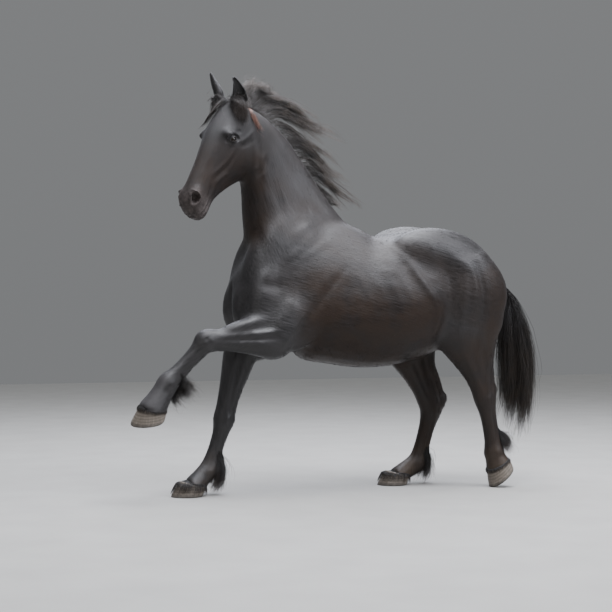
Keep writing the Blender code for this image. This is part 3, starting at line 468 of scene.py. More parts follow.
# On each foreleg and each hind leg, both sides, points as (bone, share of its length, forward m).
FORE_RELIEF = (
    (6, 16, (("knee", 0.02, 0.058), ("knee", 0.35, 0.042), ("knee", 0.8, 0.024))),
    (-5, 9, (("knee", 0.02, 0.022), ("knee", 0.5, 0.01), ("knee", 0.85, 0.004))),
    (5, 12, (("knee", 0.05, -0.01), ("knee", 0.5, -0.009), ("knee", 0.82, -0.01))),
    (-5, 9, (("knee", 0.1, -0.044), ("knee", 0.6, -0.028), ("knee", 0.8, -0.026))),
    (4, 18, (("knee", 0.05, -0.078), ("knee", 0.45, -0.048))),
    (5, 18, (("knee", 0.95, 0.01), ("knee", 0.99, -0.01))),
    (-3, 7, (("fetlock", 0.01, 0.035), ("fetlock", 0.01, -0.01))),
    (4, 12, (("fetlock", 0.06, 0.015), ("fetlock", 0.06, -0.012))),
    (7, 12, (("knee", 0.95, -0.05), ("knee", 1, -0.052))),
    (-6, 7, (("fetlock", 0.15, -0.014), ("fetlock", 0.5, -0.014), ("fetlock", 0.88, -0.016))),
    (3, 8, (("fetlock", 0.16, -0.034), ("fetlock", 0.86, -0.034))),
    (4, 17, (("coronet", 0, 0.004), ("coronet", 0.06, -0.006))),
    (-3, 8, (("coronet", 0.3, -0.03), ("coronet", 0.34, 0.01))),
)
HIND_RELIEF = (
    (-8, 18, (("hock", 0.16, -0.03), ("hock", 0.45, -0.026), ("hock", 0.75, -0.034))),
    (-9, 10, (("hock", 0.55, -0.05), ("hock", 0.75, -0.056), ("hock", 0.93, -0.048))),
    (5, 18, (("hock", 0.15, 0.105), ("hock", 0.5, 0.06), ("hock", 0.85, 0.03))),
    (-4, 10, (("hock", 0.3, 0.04), ("hock", 0.6, 0.026), ("hock", 0.85, 0.01))),
    (6, 20, (("hock", 0.97, 0.004), ("hock", 1, -0.004))),
    (4, 12, (("fetlock", 0.07, 0.012), ("fetlock", 0.07, -0.014))),
    (-4, 8, (("hock", 0.98, -0.04), ("fetlock", 0.06, -0.034))),
    (-6, 7, (("fetlock", 0.18, -0.016), ("fetlock", 0.5, -0.016), ("fetlock", 0.88, -0.018))),
    (3, 8, (("fetlock", 0.18, -0.038), ("fetlock", 0.86, -0.036))),
    (4, 17, (("coronet", 0, 0.004), ("coronet", 0.06, -0.006))),
    (-3, 8, (("coronet", 0.3, -0.03), ("coronet", 0.34, 0.01))),
)

# On both sides of the head, points in its own frame as (x, z).
HEAD_RELIEF = (
    (4, 11, ((0.066, -0.262), (0.066, -0.34), (0.046, -0.41), (0.018, -0.475))),
    (-4, 11, ((0.094, -0.27), (0.096, -0.35), (0.074, -0.42), (0.044, -0.49))),
    (-2, 16, ((-0.01, -0.33), (-0.01, -0.42), (-0.014, -0.52))),
    (2, 12, ((-0.036, -0.3), (-0.036, -0.42), (-0.034, -0.54))),
    (-8, 17, ((0.046, -0.16), (0.056, -0.178))),
    (4, 13, ((-0.002, -0.214), (0.02, -0.196), (0.048, -0.196), (0.066, -0.212))),
    (5, 12, ((0.072, -0.225), (0.105, -0.19), (0.13, -0.14), (0.14, -0.1))),
    (-5, 12, ((0.1, -0.235), (0.14, -0.2), (0.165, -0.15))),
    (-5, 6, ((0.002, -0.224), (0.02, -0.209), (0.044, -0.206), (0.06, -0.216))),
    (-6, 12, ((-0.03, -0.25), (-0.006, -0.262), (0.012, -0.268))),
    (5, 14, ((0.075, -0.5), (0.09, -0.44), (0.12, -0.4))),
    (-5, 10, ((0.048, -0.52), (0.06, -0.56), (0.064, -0.59))),
    (-4, 9, ((0.105, -0.52), (0.11, -0.56))),
    (-4, 14, ((0.215, -0.36), (0.18, -0.42), (0.155, -0.48))),
    (4, 12, ((0.25, -0.19), (0.268, -0.25), (0.258, -0.31))),
    (-5, 11, ((0.282, -0.19), (0.3, -0.25), (0.292, -0.32))),
)

# Nostrils, in the head's frame: the middle on the skin, its half sizes and its depth.
NOSTRIL_PLACE = (-0.022, 0.070, -0.640)
NOSTRIL_LONG, NOSTRIL_WIDE, NOSTRIL_DEEP = 0.036, 0.025, 0.034
# Mouth, in the head's frame: (x, z) along the side, from its corner to the front.
MOUTH_LINE = ((0.078, -0.580), (0.082, -0.610), (0.080, -0.650), (0.070, -0.690), (0.056, -0.708))
MOUTH_FRONT = ((0.050, -0.034, -0.716), (0.046, 0.0, -0.722), (0.050, 0.034, -0.716))
# Opening of the lids: half length, and half heights above and below.
LID_LONG, LID_ABOVE, LID_BELOW = 0.0205, 0.0116, 0.0098


def smooth(low, high, value):
    """0 at low, 1 at high and soft between them; low may be the larger."""
    t = np.clip((value - low) / (high - low), 0, 1)
    return t * t * (3 - 2 * t)


def unit(rows):
    """Rows scaled to a length of 1."""
    return rows / np.maximum(np.linalg.norm(rows, axis=-1, keepdims=True), 1e-9)


def read(items, what, width=1, kind=np.int32):
    """One property of all items of a mesh, with a row of the array for each."""
    made = np.empty(len(items) * width, kind)
    items.foreach_get(what, made)
    return made.reshape(-1, width) if width > 1 else made


def get_points(mesh, what="co"):
    return read(mesh.vertices, what, 3, np.float64)


def set_points(mesh, points):
    mesh.vertices.foreach_set("co", points.ravel())
    mesh.update()


def in_head(points):
    """Points of the model, in the head's frame."""
    return (points - np.array(POLL)) @ HEAD_TURN


def fused(name, makers, voxel):
    """Closed forms, made one by a voxel remesh."""
    bm = bmesh.new()
    for maker in makers:
        maker(bm)
    mesh = bpy.data.meshes.new(name)
    bm.to_mesh(mesh)
    bm.free()
    whole = bpy.data.objects.new(name, mesh)
    bpy.context.scene.collection.objects.link(whole)
    remesh = whole.modifiers.new("fuse", "REMESH")
    remesh.mode = "VOXEL"
    remesh.voxel_size = voxel
    graph = bpy.context.evaluated_depsgraph_get()
    whole.data = bpy.data.meshes.new_from_object(whole.evaluated_get(graph))
    whole.modifiers.clear()
    bpy.data.meshes.remove(mesh)
    return whole


def relax(mesh, passes, hollow=0.6, crown=0.12, slide=0.5, amount=None):
    """Fills hollow creases with soft skin, and wears crowns down less."""
    count = len(mesh.vertices)
    co = get_points(mesh)
    a, b = read(mesh.edges, "vertices", 2).T
    if amount is not None:
        live = (amount[a] > 0) | (amount[b] > 0)
        a, b = a[live], b[live]
    near = np.maximum(np.bincount(a, minlength=count) + np.bincount(b, minlength=count), 1)
    weight = 1.0 if amount is None else amount[:, None]
    for turn in range(passes):
        if turn % 4 == 0:
            set_points(mesh, co)
            out = get_points(mesh, "normal")
        total = np.stack(
            [np.bincount(a, co[b, k], count) + np.bincount(b, co[a, k], count) for k in range(3)], 1
        )
        pull = total / near[:, None] - co
        rise = (pull * out).sum(1, keepdims=True)
        along = pull - rise * out
        co = co + weight * (slide * along + np.where(rise > 0, hollow, crown) * rise * out)
    set_points(mesh, co)


def refined(mesh, chosen):
    """Cuts in four the faces among the chosen vertices."""

    def cut(bm):
        bm.verts.ensure_lookup_table()
        edges = [e for e in bm.edges if chosen[e.verts[0].index] and chosen[e.verts[1].index]]
        bmesh.ops.subdivide_edges(bm, edges=edges, cuts=1, use_grid_fill=True)

    worked(mesh, cut)


def worked(mesh, *steps):
    """Opens a mesh for steps, each a function of the open mesh."""
    bm = bmesh.new()
    bm.from_mesh(mesh)
    for step in steps:
        step(bm)
    bm.to_mesh(mesh)
    bm.free()


def face_outwards(bm):
    bmesh.ops.recalc_face_normals(bm, faces=bm.faces)


def snapped(tree, starts, way):
    """Points where rays from starts along way meet the skin, and the skin's normals there."""
    places, outs = [], []
    for start in starts:
        hit = tree.ray_cast(Vector(start), Vector(way), 1.0)
        if hit[0] is None:
            hit = tree.find_nearest(Vector(start) + Vector(way) * 0.5)
        places.append(hit[0])
        outs.append(hit[1])
    return np.array(places), np.array(outs)


class DrawnSkin:
    """The skin's points while they are moved, with its normals and its tree from before."""

    def __init__(self, mesh):
        self.points, self.outs = get_points(mesh), get_points(mesh, "normal")
        self.tree = BVHTree.FromPolygons(
            [v.co for v in mesh.vertices], [p.vertices[:] for p in mesh.polygons]
        )


def raise_line(skin, line, ways, width, height):
    """Moves points near a line on the skin along their normals, most on the line, by a height in mm."""
    width = width / 1000
    reach = 2.6 * width
    near = np.where(((skin.points > line.min(0) - reach) & (skin.points < line.max(0) + reach)).all(1))[0]
    if not len(near):
        return
    p, n = skin.points[near], skin.outs[near]
    best = np.full(len(near), 1e9)
    at = np.zeros(len(near))
    facing = np.zeros(len(near))
    for i in range(len(line) - 1):
        step = line[i + 1] - line[i]
        t = np.clip(((p - line[i]) @ step) / max(step @ step, 1e-9), 0, 1)
        gap = ((p - line[i] - t[:, None] * step) ** 2).sum(1)
        closer = gap < best
        best = np.where(closer, gap, best)
        at = np.where(closer, (i + t) / (len(line) - 1), at)
        way = ways[i] * (1 - t)[:, None] + ways[i + 1] * t[:, None]
        facing = np.where(closer, (n * way).sum(1), facing)
    ends = 0.25 + 0.75 * np.clip(np.minimum(at, 1 - at) * 5, 0, 1)
    lift = height / 1000 * np.exp(-best / width ** 2) * np.clip(facing * 1.6, 0, 1) * ends
    skin.points[near] += n * lift[:, None]


def draw_relief(skin, relief, starts_of, way):
    """Every ridge and groove of one list, on one side. starts_of turns a line's points into ray starts."""
    for height, width, line in relief:
        raise_line(skin, *snapped(skin.tree, cubic_rows(starts_of(line), 3), way), width, height)


def draw_near(skin, line, width, height):
    """One ridge or groove, laid on the skin where it's nearest to a line."""
    hits = [skin.tree.find_nearest(Vector(p)) for p in cubic_rows(line, 3)]
    raise_line(skin, *(np.array([hit[k] for hit in hits]) for k in (0, 1)), width, height)


def leg_starts(leg, line, off):
    joints = leg_joints(leg)
    names = list(joints)
    made = []
    for bone, share, forward in line:
        low, high = joints[bone], joints[names[names.index(bone) - 1]]
        way = (low - high).normalized()
        front = Vector((0, 1, 0)).cross(way).normalized()
        made.append(high + (low - high) * share + front * forward + Vector((0, off, 0)))
    return made


LEG_OFF = 0.22


def draw_body(mesh):
    """Muscles, bones and tendons that show through the skin of the trunk, neck and legs."""
    skin = DrawnSkin(mesh)
    for s in (-1, 1):
        draw_relief(skin, BODY_RELIEF, lambda line: [(x, 0.6 * s, z) for x, z in line], (0, -s, 0))
    for name, leg in LEGS.items():
        relief = FORE_RELIEF if name.startswith("fore") else HIND_RELIEF
        for s in (-1, 1):
            off = LEG_OFF * s if leg["side"] == s else 0.12 * s
            draw_relief(skin, relief, lambda line: leg_starts(leg, line, off), (0, -s, 0))
    for height, width, line in MIDDLE_RELIEF:
        draw_near(skin, line, width, height)
    set_points(mesh, skin.points)


def draw_head(mesh):
    """Bones, folds and lips of the head."""
    skin = DrawnSkin(mesh)
    for s in (-1, 1):
        way = HEAD_PLACE.to_3x3() @ Vector((0, -s, 0))

        def starts(line):
            return [HEAD_PLACE @ Vector((x, 0.45 * s, z)) for x, z in line]

        draw_relief(skin, HEAD_RELIEF, starts, way)
        for height, width, off in ((-6, 5, 0), (4, 9, -0.014), (4, 9, 0.016)):
            lips = [(x + off, z) for x, z in MOUTH_LINE]
            draw_relief(skin, ((height, width, lips),), starts, way)
    for height, width, off in ((-6, 5, 0), (4, 8, -0.014), (4, 8, 0.016)):
        lips = [HEAD_PLACE @ Vector((x + off, y, z)) for x, y, z in MOUTH_FRONT]
        draw_near(skin, lips, width, height)
    set_points(mesh, skin.points)


def head_frame(place, out, along):
    """A place on the head, in the world, with its ways along and across the skin and out of it."""
    out, along = Vector(out).normalized(), Vector(along)
    along = (along - out * along.dot(out)).normalized()
    turn = HEAD_PLACE.to_3x3()
    return np.array(HEAD_PLACE @ Vector(place)), *(np.array(turn @ w) for w in (along, out.cross(along), out))


def eye_axes(side):
    """An eye's middle, and its long, upper and outward ways, in the world's frame."""
    place = (EYE_BACK, EYE_OUT * side, -EYE_DOWN)
    middle, along, across, out = head_frame(place, (-0.12, side, 0.02), (0.768, 0, 0.640))
    return middle, along, across * -side, out


def lid_share(a, b):
    """1 on the edge of the lids, less inside it."""
    return np.sqrt((a / LID_LONG) ** 2 + (b / np.where(b > 0, LID_ABOVE, LID_BELOW)) ** 2)


def open_eyes(mesh):
    """Lids that lie on the eyeballs, open on an almond."""
    points = get_points(mesh)
    for s in (-1, 1):
        middle, along, upper, out = eye_axes(s)
        away = points - middle
        a, b, c = away @ along, away @ upper, away @ out
        near = (c > -0.012) & (np.hypot(a, b) < 0.060)
        share = lid_share(a, b)
        ball = np.sqrt(np.maximum(EYE_RADIUS ** 2 - a ** 2 - b ** 2, 0.00002))
        wide = np.hypot(a, b)
        ball = np.where(wide > 0.022, np.interp(wide, (0.022, 0.045), (0.0119, -0.006)), ball)
        lid = ball + 0.0045 * smooth(0.93, 1.12, share) + 0.0016 * np.exp(-((share - 1.22) / 0.16) ** 2)
        inside = ball - 0.0060 * smooth(1.0, 0.80, share)
        wanted = np.where(share < 0.97, inside, lid)
        fold = 0.0030 * np.exp(-((share - 1.95) / 0.22) ** 2) * smooth(-0.004, 0.006, b)
        blend = smooth(2.7, 1.5, share)
        move = ((wanted - c) * blend - fold * smooth(2.9, 2.2, share)) * near
        # The edge of the lids is drawn together on the almond.
        edge = np.exp(-((share - 1.0) / 0.10) ** 2) * near * 0.8
        pull = (1 / np.maximum(share, 0.3) - 1) * edge
        points += move[:, None] * out + (a * pull)[:, None] * along + (b * pull)[:, None] * upper
    set_points(mesh, points)


def open_nostrils(mesh):
    """Comma-shaped hollows with a raised rim and the fold of the wing at the top."""
    points = get_points(mesh)
    for s in (-1, 1):
        spot = mirrored(NOSTRIL_PLACE, s)
        middle, along, across, out = head_frame(spot, (-0.42, s, -0.30), (0.50, 0, -0.86))
        away = points - middle
        a, b, c = away @ along, away @ across, away @ out
        near = (c > -0.035) & (np.hypot(a, b) < 0.075) & (np.abs(c) < 0.06)
        bent = b + 0.35 * a ** 2 / NOSTRIL_LONG * -s
        share = np.sqrt((a / NOSTRIL_LONG) ** 2 + (bent / NOSTRIL_WIDE) ** 2)
        hollow = -NOSTRIL_DEEP * smooth(1.02, 0.35, share)
        rim = 0.0055 * np.exp(-((share - 1.22) / 0.20) ** 2)
        wing = 0.012 * np.exp(-((a + 0.020) / 0.010) ** 2 - (bent / 0.010) ** 2)
        points += ((hollow + rim + wing) * near)[:, None] * out
    set_points(mesh, points)


EAR_STEPS = 24
EAR_FACING = (-0.50, 0.86, 0.10)
EAR_SHELL = 0.55


def ear_frame(side):
    """An ear's axis, and at each point its way, its front and its side, with the reaches of its section."""
    rows = cubic_rows(ear_rows(side), EAR_STEPS)
    axis = rows[:, :3]
    way = np.gradient(axis, axis=0)
    way = unit(way)
    aside = np.array(HEAD_PLACE.to_3x3() @ Vector((0.35, side, 0)).normalized())
    over = unit(np.cross(aside, way))
    return axis, way, over, np.cross(way, over), rows[:, 3:6]


def near_ear(points, axis, side):
    """Vertices about an ear, with the number of the nearest point on its axis."""
    head = in_head(points)
    about = (head[:, 1] * side > 0.01) & (head[:, 2] > -0.03) & (head[:, 0] < 0.07)
    near = np.where(about & (np.linalg.norm(points - axis[len(axis) * 2 // 3], axis=1) < 0.15))[0]
    gaps = ((points[near][:, None, :] - axis[None]) ** 2).sum(2)
    k = gaps.argmin(1)
    close = np.sqrt(gaps[np.arange(len(k)), k]) < 0.055
    return near[close], k[close]


def shape_ears(mesh):
    """Gives the ears back their full length and section, which the softening of the skin wore down."""
    points = get_points(mesh)
    for s in (-1, 1):
        axis, _, over, lateral, reach = ear_frame(s)
        near, k = near_ear(points, axis, s)
        last = len(axis) - 1
        share = k / last
        away = points[near] - axis[k]
        u, v = (away * lateral[k]).sum(1), (away * over[k]).sum(1)
        far = share.max()
        start = 0.30
        longer = np.where(share > start, start + (share - start) * (1 - start) / max(far - start, 0.1), share)
        to = np.clip(np.round(longer * last).astype(int), 0, last)
        plus, minus, half = reach[to].T
        size = np.hypot(u, v) + 1e-9
        c, d = v / size, u / size
        wanted = 1 / np.sqrt((c / np.where(c > 0, plus, minus)) ** 2 + (d / half) ** 2)
        spot = axis[to] + wanted[:, None] * (c[:, None] * over[to] + d[:, None] * lateral[to])
        blend = smooth(0.16, 0.34, share)[:, None] * (size < 2.2 * wanted)[:, None]
        points[near] += (spot - points[near]) * blend
    set_points(mesh, points)


def hollow_ears(mesh):
    """Cups the ears to the front and side."""
    points = get_points(mesh)
    for s in (-1, 1):
        axis, way, _, _, reach = ear_frame(s)
        near, k = near_ear(points, axis, s)
        facing = np.array(HEAD_PLACE.to_3x3() @ mirrored(EAR_FACING, s))
        facing = unit(facing - (way[k] @ facing)[:, None] * way[k])
        across = np.cross(way[k], facing)
        away = points[near] - axis[k]
        u, v = (away * across).sum(1), (away * facing).sum(1)
        share = k / (len(axis) - 1)
        half, back = reach[k, 2], reach[k, 1]
        open_to = smooth(0.10, 0.28, share) * smooth(0.99, 0.90, share)
        rim = np.sqrt(np.clip(1 - (u / (0.80 * half)) ** 2, 0, 1))
        deep = np.maximum(v + EAR_SHELL * back, 0) * rim * open_to * smooth(0.0, 0.3, v / half)
        points[near] -= facing * deep[:, None]
    set_points(mesh, points)


def to_foot(points, leg):
    """Points in a hoof's frame, how far each lies below the coronet, and which are near the hoof."""
    place = foot_matrix(leg)
    p = (points - np.array(place.translation)) @ np.array(place.to_3x3())
    below = CORONET_CENTRE.z - CORONET_SLOPE * (p[:, 0] - CORONET_CENTRE.x) - p[:, 2]
    near = (np.abs(p[:, 0]) < 0.14) & (np.abs(p[:, 1]) < 0.11) & (p[:, 2] > -0.05)
    return p, below, near


def from_foot(points, leg):
    """Points of a hoof's frame, in the model's."""
    place = foot_matrix(leg)
    return points @ np.array(place.to_3x3()).T + np.array(place.translation)


def coronet_line(c, s):
    """Points on the coronet, in a hoof's frame, from the cosines and sines of their turns."""
    height = (CORONET_FRONT + CORONET_BACK) / 2 - CORONET_SLOPE * CORONET_HALF_LENGTH * c
    return np.stack([CORONET_SET_BACK + CORONET_HALF_LENGTH * c, CORONET_HALF_WIDTH * s, height], 1)


def tuck_feet(mesh):
    """Draws the end of each leg in, to lie inside the horn."""
    points = get_points(mesh)
    centre = np.array((CORONET_SET_BACK * 0.8, 0.0))
    for leg in LEGS.values():
        p, below, near = to_foot(points, leg)
        near &= below > -0.002
        draw = 1 - 0.16 * smooth(-0.002, 0.006, below) - 0.10 * smooth(0.006, 0.030, below)
        p[:, :2] = centre + (p[:, :2] - centre) * draw[:, None]
        p[:, 2] = np.maximum(p[:, 2], 0.012)
        points = np.where(near[:, None], from_foot(p, leg), points)
    set_points(mesh, points)


def horn_depth(points):
    """How far points of the skin lie under the coronets, inside the horn; below 0 elsewhere."""
    deepest = np.full(len(points), -1.0)
    for leg in LEGS.values():
        _, below, near = to_foot(points, leg)
        deepest = np.maximum(deepest, np.where(near, below, -1.0))
    return deepest


HAIR_LIES = {
    "trunk": (0.96, 0.0, -0.28),
    "neck": (0.35, 0.0, -0.94),
    "leg": (0.02, 0.0, -1.0),
    "raised": (-0.88, 0.0, -0.47),
    "face": tuple(-HEAD_TURN[:, 2]),
}


def lie_weights(points):
    """How much each part's lie of hair holds at points of the skin."""
    head = in_head(points)
    face = smooth(0.03, -0.05, head[:, 2]) * smooth(0.34, 0.24, head[:, 0])
    face *= smooth(0.20, 0.15, np.abs(head[:, 1]))
    up = (points[:, 0] + 0.40) * -0.505 + (points[:, 2] - 1.42) * 0.863
    neck = smooth(-0.16, 0.12, up) * (1 - face)
    raised = smooth(-0.60, -0.70, points[:, 0]) * smooth(-0.02, -0.10, points[:, 1])
    leg = smooth(0.98, 0.76, points[:, 2]) * (1 - raised) * (1 - face)
    raised = raised * smooth(1.05, 0.95, points[:, 2])
    trunk = np.clip(1 - face - neck - leg - raised, 0, 1)
    return {"trunk": trunk, "neck": neck, "leg": leg, "raised": raised, "face": face}


def marks(points):
    """Brown hair, sun-burnt on the rear thighs and painted shade on the belly and behind the shoulder, bare
    muzzle skin, and dust, at points of the skin.
    """
    head = in_head(points)
    muzzle = 0.8 * smooth(-0.55, -0.66, head[:, 2]) * (np.abs(head[:, 1]) < 0.15) * (head[:, 0] < 0.25)
    muzzle *= 1 - 0.6 * smooth(0.08, 0.12, head[:, 0])
    x, y, z = points.T
    # Painted shade: brown on the lower barrel and the belly.
    belly = smooth(1.28, 1.08, z) * smooth(-0.50, -0.30, x) * smooth(0.56, 0.42, x) * smooth(0.62, 0.74, z)
    seat = smooth(0.66, 0.80, x) * smooth(1.45, 1.25, z) * smooth(0.55, 0.75, z)
    hind = 0.7 * smooth(1.02, 0.82, z) * smooth(0.25, 0.40, x)
    # Painted shade in the hollow behind the shoulder.
    painted_shade_behind_shoulder = 0.9 * np.exp(-(((x + 0.22) / 0.26) ** 2) - ((z - 1.20) / 0.13) ** 2)
    throat = 0.7 * smooth(-0.50, -0.62, x) * smooth(1.35, 1.50, z) * smooth(2.05, 1.85, z)
    neck = 0.2 * smooth(1.45, 1.7, z) * smooth(-0.75, -0.60, x)
    cheek = 0.4 * smooth(-0.20, -0.30, head[:, 2]) * smooth(-0.60, -0.50, head[:, 2])
    cheek *= smooth(0.02, 0.09, head[:, 0])
    parts = 0.9 * belly, 0.75 * seat, hind, painted_shade_behind_shoulder, throat, neck, cheek
    sunburn_and_shade = np.clip(np.maximum.reduce(parts), 0, 1)
    dust = smooth(0.30, 0.08, z)
    return {"sunburn_and_shade": sunburn_and_shade, "bare": muzzle, "dust": dust}


def painted_ear_cup_shade(points):
    """1 in the cups of the ears, where the coat is painted near black as shade."""
    inner = np.zeros(len(points))
    for s in (-1, 1):
        axis, _, _, _, reach = ear_frame(s)
        near, k = near_ear(points, axis, s)
        size = np.linalg.norm(points[near] - axis[k], axis=1) / reach[k, 2]
        cup = smooth(0.92, 0.62, size) * smooth(0.06, 0.18, k / len(axis))
        inner[near] = np.maximum(inner[near], cup)
    return inner


def coat_values(points):
    """All that the coat's material reads, at points of the skin."""
    lies = {"lie_" + part: weight for part, weight in lie_weights(points).items()}
    return {**marks(points), **lies, "inner": painted_ear_cup_shade(points)}


def add_values(mesh, values):
    """Gives a mesh rows of values, one to a vertex."""
    for key, row in values.items():
        mesh.attributes.new(key, "FLOAT", "POINT").data.foreach_set("value", row.astype(np.float32))


# ---- Nodes and materials ----


def linear(code):
    """A linear colour from an sRGB hex value."""
    parts = [int(code[i : i + 2], 16) / 255 for i in (0, 2, 4)]
    return (*(c / 12.92 if c <= 0.04045 else ((c + 0.055) / 1.055) ** 2.4 for c in parts), 1.0)


def wire(tree, node, inputs):
    """Sets a node's inputs, by name or in order, to values, or links them to sockets."""
    for key, value in inputs.items() if isinstance(inputs, dict) else enumerate(inputs):
        if isinstance(value, bpy.types.NodeSocket):
            tree.links.new(value, node.inputs[key])
        else:
            node.inputs[key].default_value = value


def add_node(tree, kind, inputs=(), stops=(), out=0, **settings):
    """One output of a new node, with its settings, its inputs as in wire, and a ramp's stops."""
    made = tree.nodes.new("ShaderNode" + kind)
    for key, value in settings.items():
        setattr(made, key, value)
    wire(tree, made, inputs)
    for i, (place, colour) in enumerate(stops):
        spots = made.color_ramp.elements
        spot = spots[i] if i < len(spots) else spots.new(place)
        spot.position = place
        spot.color = colour
    return made.outputs[out]


def new_material(name):
    """A material, with one function that adds its nodes and one that sets its shader's inputs."""
    made = bpy.data.materials.new(name)
    made.use_nodes = True
    tree = made.node_tree
    return made, partial(add_node, tree), partial(wire, tree, tree.nodes["Principled BSDF"])


GREY_RAMP = ((0.35, (0, 0, 0, 1)), (0.65, (1, 1, 1, 1)))
STREAK_WIDTH, STREAK_STRETCH = 0.010, 13


def streaks(node, position):
    """Noise drawn out along the lie of the hair on each part, mixed by the skin's own weights."""
    total = None
    for name, way in HAIR_LIES.items():
        way = Vector(way).normalized()
        aside = way.cross(Vector((0, 1, 0))).normalized()
        axes = ((way, STREAK_WIDTH * STREAK_STRETCH), (aside, STREAK_WIDTH), (way.cross(aside), STREAK_WIDTH))
        parts = [
            node("VectorMath", (position, axis * (1 / size)), out="Value", operation="DOT_PRODUCT")
            for axis, size in axes
        ]
        bent = node("CombineXYZ", parts)
        noise = node("TexNoise", {"Vector": bent, "Scale": 1.0, "Detail": 3.0, "Roughness": 0.6})
        weight = node("Attribute", out="Fac", attribute_name="lie_" + name)
        part = node("Math", (noise, weight), operation="MULTIPLY")
        total = part if total is None else node("Math", (total, part), operation="ADD")
    return total


def coat_material(settings):
    """Short black summer hair, groomed flat: it shows as fine streaks along its lie, with a cool gloss
    on the shoulders and croup, a warm brown where the sun has burnt it and as painted shade on the belly
    and behind the shoulder, and painted shade in the ear cups."""
    made, node, shade = new_material("groomed_short_hair")
    position = node("TexCoord", out="Object")
    streak = streaks(node, position)
    patch = node("TexNoise", {"Vector": position, "Scale": 7.0, "Detail": 4.0, "Roughness": 0.55})
    fleck = node("TexNoise", {"Vector": position, "Scale": 60.0, "Detail": 3.0})
    sunburn_and_shade, bare, inner, dust, face = (
        node("Attribute", out="Fac", attribute_name=key)
        for key in ("sunburn_and_shade", "bare", "inner", "dust", "lie_face")
    )
    base = node("ValToRGB", (streak,), ((0.32, settings.coat_deep), (0.72, settings.coat_light)))
    soft = node("ValToRGB", (patch,), GREY_RAMP)
    sunburn_and_shade_share = node("Math", (sunburn_and_shade, soft), operation="MULTIPLY")
    sunburn_and_shade_share = node("Math", (sunburn_and_shade, 0.45, sunburn_and_shade_share), operation="MULTIPLY_ADD")
    # Warm brown: sun-burnt hair, and painted shade on the belly and behind the shoulder.
    colour = node("MixRGB", (sunburn_and_shade_share, base, settings.coat_sunburn_and_shade), use_clamp=True)
    muzzle = node("ValToRGB", (fleck,), ((0.30, linear("2c2726")), (0.70, linear("4d4644"))))
    colour = node("MixRGB", (bare, colour, muzzle))
    # The ear cups are painted near black, as shade.
    colour = node("MixRGB", (inner, colour, linear("0a0908")))
    powder = node("Math", (dust, soft), operation="MULTIPLY")
    powder = node("Math", (powder, 0.35), operation="MULTIPLY")
    colour = node("MixRGB", (powder, colour, linear("5a4d40")))
    rough = node("MapRange", (streak, 0.3, 0.7, 0.34, 0.50))
    rough = node("Math", (patch, 0.14, rough), operation="MULTIPLY_ADD")
    rough = node("Math", (face, 0.20, rough), operation="MULTIPLY_ADD")
    height = node("Math", (fleck, 0.25, streak), operation="MULTIPLY_ADD")
    inputs = {
        "Base Color": colour,
        "Roughness": rough,
        "Normal": node("Bump", {"Height": height, "Strength": 0.42, "Distance": 0.0030}),
        "Specular IOR Level": node("MapRange", (sunburn_and_shade, 0.0, 1.0, 0.50, 0.20)),
        "Sheen Weight": 0.02,
        "Sheen Roughness": 0.45,
        "Sheen Tint": linear("c9ccd6"),
    }
    shade(inputs)
    return made


def hair_material(name, deep, light, tip, rust="8a5540"):
    """Long hair of mane, tail and feather: straight to wavy, black at the root, browned at the tip,
    with a satin gloss along each lock."""
    made, node, shade = new_material(name)
    along, tone, warm = (
        node("Attribute", out="Fac", attribute_name=key) for key in ("along", "tone", "warm")
    )
    base = node("ValToRGB", (tone,), ((0.0, linear(deep)), (1.0, linear(light))))
    position = node("TexCoord", out="Object")
    patch = node("TexNoise", {"Vector": position, "Scale": 16.0, "Detail": 3.0})
    ends = node("Math", (along, patch), operation="MULTIPLY")
    ends = node("MapRange", (ends, 0.18, 0.62, 0.0, 0.85))
    colour = node("MixRGB", (ends, base, linear(tip)))
    colour = node("MixRGB", (warm, colour, linear(rust)))
    rough = node("MapRange", (tone, 0.0, 1.0, 0.34, 0.50))
    shade({"Base Color": colour, "Roughness": rough, "Specular IOR Level": 0.55})
    return made


# ---- Linking pieces ----


def finish_piece(piece, slot, *stands_for):
    """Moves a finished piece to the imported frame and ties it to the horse's one body."""
    piece.data.transform(Matrix.Translation(SHIFT))
    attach(piece, "root")
    if stands_for:
        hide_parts(*stands_for)
    return piece


def piece_from(name, points, faces, values=None, patches=None):
    """A mesh from arrays: faces is a list of arrays of corners, each of triangles or of quads."""
    mesh = bpy.data.meshes.new(name)
    corners = np.concatenate([f.ravel() for f in faces])
    sizes = np.concatenate([np.full(len(f), f.shape[1]) for f in faces])
    starts = np.concatenate([[0], np.cumsum(sizes)[:-1]])
    mesh.vertices.add(len(points))
    mesh.vertices.foreach_set("co", np.ascontiguousarray(points, np.float32).ravel())
    mesh.loops.add(len(corners))
    mesh.loops.foreach_set("vertex_index", corners.astype(np.int32))
    mesh.polygons.add(len(sizes))
    mesh.polygons.foreach_set("loop_start", starts.astype(np.int32))
    mesh.polygons.foreach_set("use_smooth", np.ones(len(sizes), bool))
    mesh.update(calc_edges=True)
    add_values(mesh, values or {})
    if patches is not None:
        layer = mesh.uv_layers.new(name="OFBake")
        layer.data.foreach_set("uv", patches[corners].astype(np.float32).ravel())
    piece = bpy.data.objects.new(name, mesh)
    bpy.context.scene.collection.objects.link(piece)
    return piece


# ---- Long hair ----

# Strands: their sides, points along one, how flat they are, and the tip's thickness as a share.
STRAND_SIDES, STRAND_POINTS = 3, 14
STRAND_FLAT, STRAND_TIP = 0.6, 0.12
# The size of a strand's patch on the map.
PATCH = 0.003


def ease(t):
    return t * t * (3 - 2 * t)


def even_curve(rows, count):
    """A smooth curve through rows, as count points evenly spaced along it."""
    fine = cubic_rows(rows, 8)
    length = np.concatenate([[0], np.cumsum(np.linalg.norm(np.diff(fine, axis=0), axis=1))])
    wanted = np.linspace(0, length[-1], count)
    return np.stack([np.interp(wanted, length, fine[:, k]) for k in range(3)], 1)


